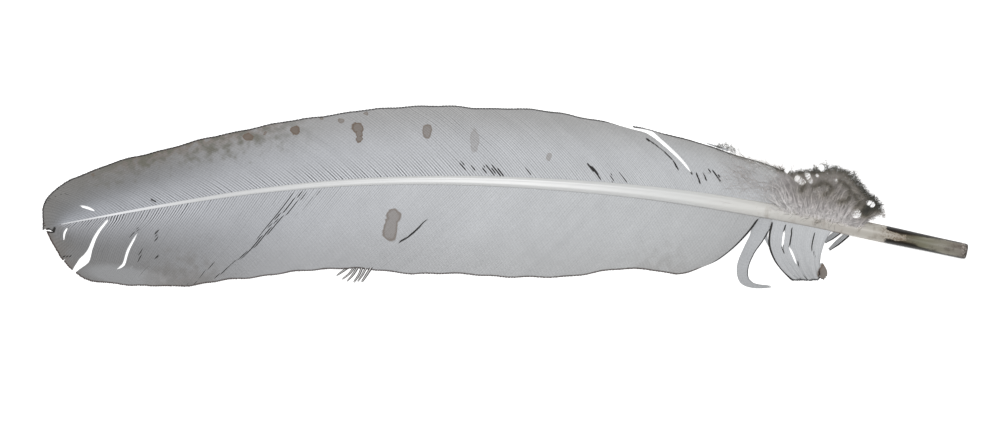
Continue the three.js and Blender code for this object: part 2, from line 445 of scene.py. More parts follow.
def mix(tree: bpy.types.NodeTree, share: object, first: object, second: object) -> bpy.types.NodeSocket:
    """Mixes two colours.

    Args:
        tree: The material's node tree.
        share: The second colour's share, as a socket or a number.
        first: A colour, as a socket or in hex.
        second: The other colour.

    Returns:
        The mixed colour's socket.
    """
    values, links = {}, {}
    for socket, side in ((0, share), (6, first), (7, second)):
        if isinstance(side, bpy.types.NodeSocket):
            links[socket] = side
        else:
            values[socket] = linear(side) if isinstance(side, str) else side
    return add_node(tree, "ShaderNodeMix", values, links, data_type="RGBA").outputs[2]


@dataclass(frozen=True)
class Spot:
    """A dried drop on a vane: where it lies, its half width and half height, its turn, its strength and its
    lobes.
    """

    x: float
    y: float
    half_width: float
    half_height: float
    turn: float = 0.0
    strength: float = 1.0
    lobes: tuple["Spot", ...] = ()


@dataclass(frozen=True)
class BarbKeratin:
    """Vane keratin, grown as zipped barbs.

    The eye sees fine slanting lines, since shade is painted into the seam beside each barb's ridge, crossed by
    the fainter lines of the barbules. It is a soft satin, greyer towards the tip and browner along the worn
    edge.
    A goose has 1 to 1.6 barbs to the millimetre. Its barbules are 0.03 mm apart, so they are drawn 0.75 mm
    apart to show.
    """

    name: str
    growth: tuple[Stop, ...]
    edge_colour: str = "7c766b"
    edge_wear: float = 0.4
    tip_colour: str = "5b5a58"
    tip_wear: float = 0.58
    tip_wear_x: Place = (-60.0, -140.0)
    soil: tuple[tuple[float, float, float], ...] = ()
    spots: tuple[Spot, ...] = ()
    pale: tuple[Spot, ...] = ()
    spot_colour: str = "73665b"
    pale_colour: str = "b4b6b9"
    soil_colour: str = "74604e"
    soil_olive: str = "666457"
    # Painted shadow colours: one along the outline, one in partings and along the end barbs' borders.
    fringe_shadow_colour: str = "1d1a1a"
    cleft_shadow_colour: str = "1c1a19"
    fringe_width: float = 0.7
    weave: float = 0.035
    tone_share: float = 0.1
    first_x: float = -162.0
    last_x: float = 130.0
    roughness: float = 0.6
    ior: float = 1.54

    def material(self) -> bpy.types.Material:
        """Builds the material from the values at the mesh's points: reach, edge_mm, groove, cleft, weave and
        tone.
        """
        material, tree = new_material(self.name)
        read = {
            n: add_node(tree, "ShaderNodeAttribute", attribute_name=n).outputs["Fac"]
            for n in ("reach", "edge_mm", "groove", "cleft", "weave", "tone")
        }
        where = add_node(tree, "ShaderNodeTexCoord").outputs["Object"]
        apart = add_node(tree, "ShaderNodeSeparateXYZ", links={0: where})
        cloud = add_node(
            tree, "ShaderNodeTexNoise", values={"Scale": 160.0, "Detail": 3.0}, links={"Vector": where}
        )
        colour = self._growth(tree, apart, read["reach"])
        lit = self._lines(tree, where, cloud, read)
        colour = add_node(
            tree, "ShaderNodeVectorMath", links={0: colour, "Scale": lit}, operation="SCALE"
        ).outputs["Vector"]
        bent = self._wander(tree, where)
        if self.pale:
            colour = mix(tree, self._spotted(tree, bent, self.pale, 0.5), colour, self.pale_colour)
        # Grease and mud lie side by side in patches of 3 mm.
        patches = add_node(
            tree, "ShaderNodeTexNoise", values={"Scale": 330.0, "Detail": 2.0}, links={"Vector": where}
        )
        dirt = mix(tree, ease(tree, patches.outputs["Fac"], 0.44, 0.56), self.soil_colour, self.soil_olive)
        for centre, half, strength in self.soil:
            soiled = self._soiled(tree, apart, read, patches, centre, half, strength)
            colour = mix(tree, soiled, colour, dirt)
        if self.spots:
            colour = mix(tree, self._spotted(tree, bent, self.spots, 0.12), colour, self.spot_colour)
        # Painted shade in the partings and along the outer borders of the end barbs.
        dark = ease(tree, read["cleft"], 0.12, 0.42)
        colour = mix(tree, dark, colour, self.cleft_shadow_colour)
        # Painted shadow along the outline, within fringe_width millimetres of the edge.
        fringe = ease(tree, read["edge_mm"], self.fringe_width, 0.25, 0.9)
        colour = mix(tree, fringe, colour, self.fringe_shadow_colour)
        shader = add_node(
            tree,
            "ShaderNodeBsdfPrincipled",
            values={
                "IOR": self.ior, "Roughness": self.roughness, "Specular IOR Level": 0.3, "Sheen Weight": 0.05
            },
            links={"Base Color": colour},
        )
        close_material(tree, shader.outputs["BSDF"])
        return material

    def _growth(
        self, tree: bpy.types.NodeTree, apart: bpy.types.Node, reach: bpy.types.NodeSocket
    ) -> bpy.types.NodeSocket:
        """Shades the vane from its tip to its foot, and greys it outwards by wear.

        Args:
            tree: The material's node tree.
            apart: The place, split into its coordinates.
            reach: The place along the barb.

        Returns:
            The colour's socket.
        """
        place = add_node(
            tree,
            "ShaderNodeMapRange",
            values={"From Min": self.first_x * MM, "From Max": self.last_x * MM},
            links={"Value": apart.outputs["X"]},
        ).outputs["Result"]
        span = self.last_x - self.first_x
        shares = tuple(((x - self.first_x) / span, colour) for x, colour in self.growth)
        grown = add_node(tree, "ShaderNodeValToRGB", links={"Fac": place}, stops=shares).outputs["Color"]
        # The tip third has weathered all over, and the rest only along its edge.
        start, full = self.tip_wear_x
        tip = ease(tree, apart.outputs["X"], start * MM, full * MM, self.tip_wear)
        out = ease(tree, reach, 0.05, 0.6)
        weathered = add_node(tree, "ShaderNodeMath", links={0: tip, 1: out}, operation="MULTIPLY").outputs[0]
        grown = mix(tree, weathered, grown, self.tip_colour)
        return mix(tree, ease(tree, reach, 0.3, 1.0, self.edge_wear), grown, self.edge_colour)

    def _lines(
        self, tree: bpy.types.NodeTree, where: bpy.types.NodeSocket, cloud: bpy.types.Node, read: dict
    ) -> bpy.types.NodeSocket:
        """Works out how light the surface is painted: clouds of 6 mm, a grain of 0.5 mm, barbules, and painted
        shade in the seams between barbs.
        """
        grain = add_node(
            tree, "ShaderNodeTexNoise", values={"Scale": 2000.0, "Detail": 2.0}, links={"Vector": where}
        )
        turn = add_node(tree, "ShaderNodeMath", {1: 2 * math.pi}, {0: read["weave"]}, operation="MULTIPLY")
        wave = add_node(tree, "ShaderNodeMath", links={0: turn.outputs[0]}, operation="SINE")
        light = None
        for socket, factor, start in (
            (cloud.outputs["Fac"], 0.14, 0.74),
            (grain.outputs["Fac"], 0.34, None),
            (read["tone"], self.tone_share, None),
            (wave.outputs[0], self.weave, None),
            # Painted shade in the seams between barbs.
            (read["groove"], -1.0, None),
        ):
            values = {1: factor} if light else {1: factor, 2: start}
            links = {0: socket, 2: light} if light else {0: socket}
            light = add_node(tree, "ShaderNodeMath", values, links, operation="MULTIPLY_ADD").outputs[0]
        return light

    def _soiled(
        self,
        tree: bpy.types.NodeTree,
        apart: bpy.types.Node,
        read: dict,
        cloud: bpy.types.Node,
        centre: float,
        half: float,
        strength: float,
    ) -> bpy.types.NodeSocket:
        """Masks the soiled band along the edge, centred on an x, half its length to each side, and returns
        the mask.
        """
        off = add_node(
            tree, "ShaderNodeMath", {1: centre * MM}, {0: apart.outputs["X"]}, operation="SUBTRACT"
        )
        far = add_node(tree, "ShaderNodeMath", links={0: off.outputs[0]}, operation="ABSOLUTE")
        here = ease(tree, far.outputs[0], half * MM, 0.35 * half * MM)
        out = add_node(
            tree, "ShaderNodeMath", {1: 1.6}, {
                0: cloud.outputs["Fac"], 2: read["reach"]
            }, operation="MULTIPLY_ADD"
        )
        edge = ease(tree, out.outputs[0], 1.35, 1.95, strength)
        return add_node(tree, "ShaderNodeMath", links={0: here, 1: edge}, operation="MULTIPLY").outputs[0]

    def _wander(self, tree: bpy.types.NodeTree, where: bpy.types.NodeSocket) -> bpy.types.NodeSocket:
        """Bends the places by about half a millimetre, so that the outlines of drops wander, and returns
        them.
        """
        noise = add_node(
            tree, "ShaderNodeTexNoise", values={"Scale": 420.0, "Detail": 2.0}, links={"Vector": where}
        )
        middle = add_node(
            tree,
            "ShaderNodeVectorMath",
            values={1: (0.5, 0.5, 0.5)},
            links={0: noise.outputs["Color"]},
            operation="SUBTRACT",
        )
        shift = add_node(
            tree, "ShaderNodeVectorMath", values={"Scale": 1.8 * MM}, links={
                0: middle.outputs[0]
            }, operation="SCALE"
        )
        return add_node(
            tree, "ShaderNodeVectorMath", links={0: where, 1: shift.outputs["Vector"]}, operation="ADD"
        ).outputs["Vector"]

    def _spotted(
        self, tree: bpy.types.NodeTree, bent: bpy.types.NodeSocket, spots: tuple[Spot, ...], soft: float
    ) -> bpy.types.NodeSocket:
        """Masks a group of spots, whose edges are as soft as given, and returns the mask."""
        total = None
        for spot in spots:
            far = None
            for part in (spot, *spot.lobes):
                local = add_node(
                    tree,
                    "ShaderNodeMapping",
                    values={
                        "Location": (part.x * MM, part.y * MM, 0.0),
                        "Rotation": (0.0, 0.0, math.radians(part.turn)),
                        "Scale": (part.half_width * MM, part.half_height * MM, 1000.0),
                    },
                    links={"Vector": bent},
                    vector_type="TEXTURE",
                )
                away = add_node(
                    tree, "ShaderNodeVectorMath", links={0: local.outputs["Vector"]}, operation="LENGTH"
                )
                links = {0: far or away.outputs["Value"], 1: away.outputs["Value"]}
                far = add_node(tree, "ShaderNodeMath", links=links, operation="MINIMUM").outputs[0]
            inside = ease(tree, far, 1 + soft, 1 - soft, spot.strength)
            # A drop dries darker at its rim.
            rim = ease(tree, far, 0.6, 0.95, 0.35)
            ringed = add_node(tree, "ShaderNodeMath", {1: 0.8}, {0: rim}, operation="ADD").outputs[0]
            inside = add_node(
                tree, "ShaderNodeMath", links={0: inside, 1: ringed}, operation="MULTIPLY"
            ).outputs[0]
            links = {0: total or inside, 1: inside}
            total = add_node(tree, "ShaderNodeMath", links=links, operation="MAXIMUM").outputs[0]
        return total


@dataclass(frozen=True)
class HornKeratin:
    """Quill horn, grown solid and polished by preening.

    The eye sees a milky ivory rod with a soft gloss and faint lengthwise lines, and at the cut end a barrel
    that is stained brown to black in ragged patches.
    """

    name: str = "quill_horn_polished"
    growth: tuple[Stop, ...] = (
        (-154.0, "d8d9dc"),
        (-135.0, "f5f6f9"),
        (-105.0, "d5d6d7"),
        (60.0, "d4d5d4"),
        # From 88 mm the ramp greys: partly the barrel's own grey-beige, partly painted shade under the down.
        (88.0, "d3d2ce"),
        (115.0, "c1bcb5"),
        (128.0, "bcb8af"),
        (138.5, "9a8f7e"),
    )
    tide: tuple[Stop, ...] = ((0.0, "665f4f"), (0.3, "7a7866"), (0.6, "898579"), (1.0, "746b65"))
    stain_from: float = 138.3
    stain_wander: float = 5.0
    flank_lead: float = 7.2
    stain_length: float = 21.0
    smudge_from: float = 88.0
    # Painted shadow line along the shaft's lower edge and the barrel's sides.
    seam_shadow_colour: str = "75675a"
    roughness: float = 0.36
    ior: float = 1.54

    def material(self) -> bpy.types.Material:
        """Builds the material from the values at the mesh's points: flank, seam and rim."""
        material, tree = new_material(self.name)
        read = {
            n: add_node(
                tree, "ShaderNodeAttribute", attribute_name=n
            ).outputs["Fac"] for n in ("flank", "seam", "rim")
        }
        where = add_node(tree, "ShaderNodeTexCoord").outputs["Object"]
        x = add_node(tree, "ShaderNodeSeparateXYZ", links={0: where}).outputs["X"]
        first, last = self.growth[0][0], self.growth[-1][0]
        place = add_node(
            tree, "ShaderNodeMapRange", values={
                "From Min": first * MM, "From Max": last * MM
            }, links={"Value": x}
        ).outputs["Result"]
        shares = tuple(((at - first) / (last - first), colour) for at, colour in self.growth)
        colour = add_node(tree, "ShaderNodeValToRGB", links={"Fac": place}, stops=shares).outputs["Color"]

        # Lengthwise lines about 0.4 mm apart, drawn out tenfold along the quill.
        drawn = add_node(
            tree, "ShaderNodeMapping", values={"Scale": (0.1, 1.0, 1.0)}, links={"Vector": where}
        )
        lines = add_node(
            tree, "ShaderNodeTexNoise", values={
                "Scale": 1500.0, "Detail": 3.0
            }, links={"Vector": drawn.outputs[0]}
        ).outputs["Fac"]
        light = add_node(
            tree, "ShaderNodeMapRange", values={"To Min": 0.94, "To Max": 1.05}, links={"Value": lines}
        )
        colour = add_node(
            tree, "ShaderNodeVectorMath", links={0: colour, "Scale": light.outputs[0]}, operation="SCALE"
        ).outputs["Vector"]
        colour = mix(tree, self._smudges(tree, where, x), colour, "7b6c5c")
        colour = mix(tree, self._specks(tree, where, x, 128.0, 133.0, 0.7), colour, "6b5945")
        # Painted shadow: a line along the shaft's lower edge where the lower barbs meet it, and along the
        # barrel's sides.
        colour = mix(tree, read["seam"], colour, self.seam_shadow_colour)
        front, stain = self._stain(tree, where, drawn.outputs[0], x, read["flank"])
        colour = mix(tree, front, colour, stain)
        colour = mix(tree, self._specks(tree, where, x, 157.6, 159.2, 0.75), colour, "d8cfca")
        colour = mix(tree, read["rim"], colour, "2f2a24")

        bump = add_node(
            tree, "ShaderNodeBump", values={"Strength": 0.25, "Distance": 0.0001}, links={"Height": lines}
        )
        gloss = add_node(
            tree, "ShaderNodeMapRange", values={"To Min": 0.5, "To Max": 0.22}, links={"Value": front}
        ).outputs["Result"]
        shader = add_node(
            tree,
            "ShaderNodeBsdfPrincipled",
            values={"IOR": self.ior, "Roughness": self.roughness},
            links={"Base Color": colour, "Normal": bump.outputs["Normal"], "Specular IOR Level": gloss},
        )
        close_material(tree, shader.outputs["BSDF"])
        return material

    def _smudges(
        self, tree: bpy.types.NodeTree, where: bpy.types.NodeSocket, x: bpy.types.NodeSocket
    ) -> bpy.types.NodeSocket:
        """Masks the brown finger smudges, about 3 mm wide, on the bare horn before the stain, and returns the
        mask.
        """
        thin = add_node(
            tree, "ShaderNodeMapping", values={"Scale": (1.0, 0.45, 0.45)}, links={"Vector": where}
        )
        cloud = add_node(
            tree, "ShaderNodeTexNoise", values={
                "Scale": 420.0, "Detail": 5.0
            }, links={"Vector": thin.outputs[0]}
        ).outputs["Fac"]
        here = ease(tree, x, (self.smudge_from - 12) * MM, (self.smudge_from + 8) * MM)
        patch = ease(tree, cloud, 0.48, 0.75, 0.55)
        return add_node(tree, "ShaderNodeMath", links={0: here, 1: patch}, operation="MULTIPLY").outputs[0]

    def _specks(
        self,
        tree: bpy.types.NodeTree,
        where: bpy.types.NodeSocket,
        x: bpy.types.NodeSocket,
        start: float,
        full: float,
        strength: float,
    ) -> bpy.types.NodeSocket:
        """Masks ragged specks, about 0.7 mm wide, that set in from one x to another, and returns the mask."""
        noise = add_node(
            tree, "ShaderNodeTexNoise", values={"Scale": 1500.0, "Detail": 2.0}, links={"Vector": where}
        ).outputs["Fac"]
        speck = ease(tree, noise, 0.48, 0.58, strength)
        here = ease(tree, x, start * MM, full * MM)
        return add_node(tree, "ShaderNodeMath", links={0: here, 1: speck}, operation="MULTIPLY").outputs[0]

    def _stain(
        self,
        tree: bpy.types.NodeTree,
        where: bpy.types.NodeSocket,
        drawn: bpy.types.NodeSocket,
        x: bpy.types.NodeSocket,
        flank: bpy.types.NodeSocket,
    ) -> tuple[bpy.types.NodeSocket, bpy.types.NodeSocket]:
        """Works out the stain: a ragged front that runs ahead on the flanks, dark there, and olive-grey on
        the crest.

        Args:
            tree: The material's node tree.
            where: The place.
            drawn: The place, drawn out tenfold along the quill.
            x: The place's x.
            flank: How far round the quill the place is from its crest.

        Returns:
            The stain's mask and its colour.
        """
        blots = add_node(
            tree, "ShaderNodeTexNoise", values={
                "Scale": 420.0, "Detail": 6.0, "Roughness": 0.75
            }, links={"Vector": where}
        ).outputs["Fac"]
        reach = add_node(
            tree,
            "ShaderNodeMath",
            values={1: 2 * self.stain_wander * MM},
            links={0: blots, 2: x},
            operation="MULTIPLY_ADD",
        ).outputs[0]
        rag = add_node(
            tree, "ShaderNodeMath", {1: 0.5}, {0: blots, 2: flank}, operation="MULTIPLY_ADD"
        ).outputs[0]
        shoulder = ease(tree, rag, 0.52, 0.76)
        ahead = add_node(
            tree, "ShaderNodeMath", values={
                1: self.flank_lead * MM
            }, links={0: shoulder, 2: reach}, operation="MULTIPLY_ADD"
        ).outputs[0]
        start = self.stain_from + self.stain_wander
        front = ease(tree, ahead, start * MM, (start + 0.9) * MM)
        depth = add_node(
            tree,
            "ShaderNodeMapRange",
            values={"From Min": start * MM, "From Max": (start + self.stain_length) * MM},
            links={"Value": reach},
        ).outputs["Result"]
        tide = add_node(tree, "ShaderNodeValToRGB", links={"Fac": depth}, stops=self.tide).outputs["Color"]
        # Paler scuffs, drawn out along the quill, 3 mm apart across it.
        scuffs = add_node(
            tree, "ShaderNodeTexNoise", values={"Scale": 800.0, "Detail": 3.0}, links={"Vector": drawn}
        )
        tide = mix(tree, ease(tree, scuffs.outputs["Fac"], 0.48, 0.72, 0.5), tide, "9c998e")
        dirt = ease(tree, blots, 0.5, 0.72, 0.5)
        tide = mix(tree, dirt, tide, "453d31")
        # Where the stain runs ahead on the flanks it has dried to a brown crust.
        crust = ease(tree, x, (self.stain_from + 6) * MM, self.stain_from * MM)
        crust = add_node(
            tree, "ShaderNodeMath", links={0: crust, 1: shoulder}, operation="MULTIPLY"
        ).outputs[0]
        tide = mix(tree, crust, tide, "3a2f22")
        # The dark flanks thin out towards the cut.
        widen = ease(tree, x, 153 * MM, self.stain_from * MM, 0.32)
        dark = add_node(tree, "ShaderNodeMath", links={0: rag, 1: widen}, operation="ADD").outputs[0]
        return front, mix(tree, ease(tree, dark, 0.93, 1.2, 0.95), tide, "181510")


@dataclass(frozen=True)
class DownFluff:
    """Down: loose barbs whose barbules never zip.

    The eye sees a matt haze of fine hairs, mauve-grey where it is dense by the shaft and a dark grey-brown
    towards its rim. The hairs are a hundredth of a millimetre thick, so they are drawn five to ten times as
    thick to show.
    """

    name: str = "down_unzipped"
    growth: tuple[Stop, ...] = (
        (0.0, "e2e0df"),
        (0.16, "d4cfce"),
        (0.35, "c0bbb9"),
        (0.55, "b3ada8"),
        (0.7, "979188"),
        (0.85, "69655b"),
        (1.0, "51514a"),
    )
    roughness: float = 0.8
    ior: float = 1.54

    def material(self) -> bpy.types.Material:
        """Builds the material from the values at the mesh's points: reach and tone."""
        material, tree = new_material(self.name)
        reach = add_node(tree, "ShaderNodeAttribute", attribute_name="reach").outputs["Fac"]
        tone = add_node(tree, "ShaderNodeAttribute", attribute_name="tone").outputs["Fac"]
        colour = add_node(
            tree, "ShaderNodeValToRGB", links={"Fac": reach}, stops=self.growth
        ).outputs["Color"]
        light = add_node(
            tree, "ShaderNodeMapRange", values={"To Min": 0.7, "To Max": 1.3}, links={"Value": tone}
        )
        colour = add_node(
            tree, "ShaderNodeVectorMath", links={
                0: colour, "Scale": light.outputs["Result"]
            }, operation="SCALE"
        ).outputs["Vector"]
        shader = add_node(
            tree,
            "ShaderNodeBsdfPrincipled",
            values={
                "IOR": self.ior,
                "Roughness": self.roughness,
                "Specular IOR Level": 0.2,
                "Sheen Weight": 0.15,
                "Sheen Roughness": 0.5,
            },
            links={"Base Color": colour},
        )
        close_material(tree, shader.outputs["BSDF"])
        return material


@dataclass(frozen=True)
class TableCard:
    """White matt card, lit a little from below as on a light table, so that it shows bright through the
    slits.
    """

    name: str = "card_matt_white"
    colour: str = "f4f4f4"
    glow: float = 0.6

    def material(self) -> bpy.types.Material:
        """Builds the material, with a faint tooth of 1 mm in its roughness."""
        material, tree = new_material(self.name)
        where = add_node(tree, "ShaderNodeTexCoord").outputs["Object"]
        tooth = add_node(tree, "ShaderNodeTexNoise", values={"Scale": 900.0}, links={"Vector": where})
        rough = add_node(
            tree, "ShaderNodeMapRange", values={
                "To Min": 0.8, "To Max": 0.95
            }, links={"Value": tooth.outputs["Fac"]}
        )
        shader = add_node(
            tree,
            "ShaderNodeBsdfPrincipled",
            values={
                "Base Color": linear(self.colour),
                "Specular IOR Level": 0.1,
                "Emission Color": linear(self.colour),
                "Emission Strength": self.glow,
            },
            links={"Roughness": rough.outputs["Result"]},
        )
        close_material(tree, shader.outputs["BSDF"])
        return material


# ------------------------------------------------------------------------------------------------ the feather


@dataclass
class Shaft:
    """The quill: a round barrel at the cut end, and a tapering, grooved shaft between the vanes."""

    quill_end_x: float = 160.0
    tip_x: float = -154.0
    bow: tuple[float, ...] = (-19.1, -11.7, -4.8, 0.6, 3.9, 5.5, 5.0, 2.0, -3.3, -9.6)
    barrel_radius: float = 2.8
    tip_radius: float = 0.2
    taper_start_x: float = 98.0
    level_length: float = 15.0
    crest_x: float = -5.0
    crest_height: float = 10.8
    tip_height: float = 1.3
    flat_sides: int = 12
    sides: int = 28
    steps: int = 170
    hollow_depth: float = 9.0
    hollow_radius: float = 1.95
    groove_share: float = 0.28
    seam_from_x: float = 38.0
    seam_to_x: float = 121.0
    curve: Curve = field(init=False)

    def __post_init__(self) -> None:
        """Draws the shaft's line as seen from above."""
        xs = np.linspace(self.quill_end_x, self.tip_x, len(self.bow))
        self.curve = Curve(tuple(zip(xs, self.bow)), centripetal=False)

    def radius(self, x: np.ndarray) -> np.ndarray:
        """Returns the half width of the shaft at x."""
        return np.interp(x, [self.tip_x, self.taper_start_x], [self.tip_radius, self.barrel_radius])

    def height(self, x: np.ndarray) -> np.ndarray:
        """Returns the height of the shaft's middle line: level barrel, rise to the crest, fall to the tip."""
        x = np.asarray(x, float)
        level_x = self.quill_end_x - self.level_length
        low = self.barrel_radius * math.cos(math.pi / self.flat_sides)
        rise = np.clip((level_x - x) / (level_x - self.crest_x), 0, 1)
        fall = np.clip((self.crest_x - x) / (self.crest_x - self.tip_x), 0, 1)
        climbing = low + (self.crest_height - low) * (1 - np.cos(math.pi * rise)) / 2
        falling = self.tip_height + (self.crest_height - self.tip_height) * np.cos(math.pi / 2 * fall)
        return np.where(x > self.crest_x, climbing, falling)

    def point(self, x: np.ndarray, offset: np.ndarray, lift: np.ndarray) -> np.ndarray:
        """Finds points beside the middle line.

        Args:
            x: Where along the shaft.
            offset: How far towards +Y, in radii.
            lift: How far up, in radii.

        Returns:
            Points with x, y and z in the last axis.
        """
        x, offset, lift = np.broadcast_arrays(np.asarray(x, float), offset, lift)
        share = np.clip((self.quill_end_x - x) / (self.quill_end_x - self.tip_x), 0, 1)
        middle, along, radius = self.curve.at(share), self.curve.direction(share), self.radius(x)
        return np.stack(
            [
                middle[..., 0] + along[..., 1] * offset * radius,
                middle[..., 1] - along[..., 0] * offset * radius,
                self.height(x) + lift * radius,
            ],
            axis=-1,
        )

    def build(self, finish: HornKeratin) -> bpy.types.Object:
        """Lofts the horn from the floor of its hollow, over the cut rim, and along to the tip.

        Args:
            finish: The horn's finish.

        Returns:
            The piece.
        """
        end = self.quill_end_x
        hollow, outer = self.hollow_radius, self.barrel_radius
        lathe = [
            (end - self.hollow_depth, hollow * 0.15),
            (end - self.hollow_depth + 0.4, hollow * 0.8),
            (end - self.hollow_depth + 1.2, hollow),
            (end - 0.5, hollow + 0.1),
            (end - 0.12, hollow + 0.2),
            (end, hollow + 0.35),
            (end - 0.05, outer - 0.42),
            (end - 0.3, outer - 0.2),
            (end - 0.8, outer - 0.1),
        ]
        rim = len(lathe)
        xs = np.concatenate([[x for x, _ in lathe], np.linspace(end - 2, self.tip_x, self.steps)])
        swell = 1 + 0.07 * np.exp(-(((xs - 129) / 12) ** 2)) - 0.02 * smooth(135, 158, xs)
        radii = self.radius(xs) * swell
        radii[:rim] = [r for _, r in lathe]
        turn = 2 * math.pi * np.arange(self.sides) / self.sides
        side, up = np.sin(turn)[None, :], np.cos(turn)[None, :]
        # The shaft between the vanes is squarer than the barrel, with a groove along its underside.
        square = smooth(self.taper_start_x + 14, self.taper_start_x - 30, xs)[:, None]
        bulge = 1 + 0.24 * square * np.sin(2 * turn)[None, :] ** 2
        groove = 1 - self.groove_share * square * np.exp(-((np.degrees(turn)[None, :] - 180) / 28) ** 2)
        share = radii / self.radius(xs)
        points = self.point(xs[:, None], side * bulge * share[:, None], up * bulge * groove * share[:, None])
        points[..., 2] = np.maximum(points[..., 2], 0.0)
        # seam paints shade: a line along the lower edge where the lower vane's barbs meet the shaft, and along
        # both sides of the barrel from 121 mm.
        angle = np.degrees(np.arccos(np.clip(up, -1, 1)))
        lower = (side < 0) * smooth(56, 84, angle) * (1 - smooth(110, 130, angle))
        along = smooth(self.seam_from_x, self.seam_from_x + 20, xs)
        along *= 1 - smooth(self.seam_to_x - 6, self.seam_to_x, xs)
        rind = smooth(0.9, 0.99, np.abs(side)) * smooth(121, 127, xs)[:, None]
        seam = np.maximum(0.95 * lower * along[:, None], 0.9 * rind)
        seam[:rim] = 0
        edge = np.zeros(len(xs))
        edge[5:11] = (0.3, 0.8, 1.0, 0.6, 0.0, 0.0)
        draft = Draft()
        draft.add_strands(
            points[None],
            {"flank": np.abs(side)[None], "seam": seam[None], "rim": edge[None, :, None] * 0.8},
        )
        return draft.piece("shaft", finish.material())


@dataclass(frozen=True)
class Parting:
    """A place where barbs have parted: its line from the shaft outwards, and its widths at even steps along
    it.

    An open one follows the seam nearest to its line, or the one whose barbs end at tip_x where that is given.
    A closed one paints shade into the seams that its line runs beside, a crossing one paints a line of shade
    over whatever barbs it meets, and an open one paints faint shade along its edges.
    """

    line: tuple[Place, ...]
    widths: tuple[float, ...]
    kind: Slit = Slit.OPEN
    tip_x: float | None = None


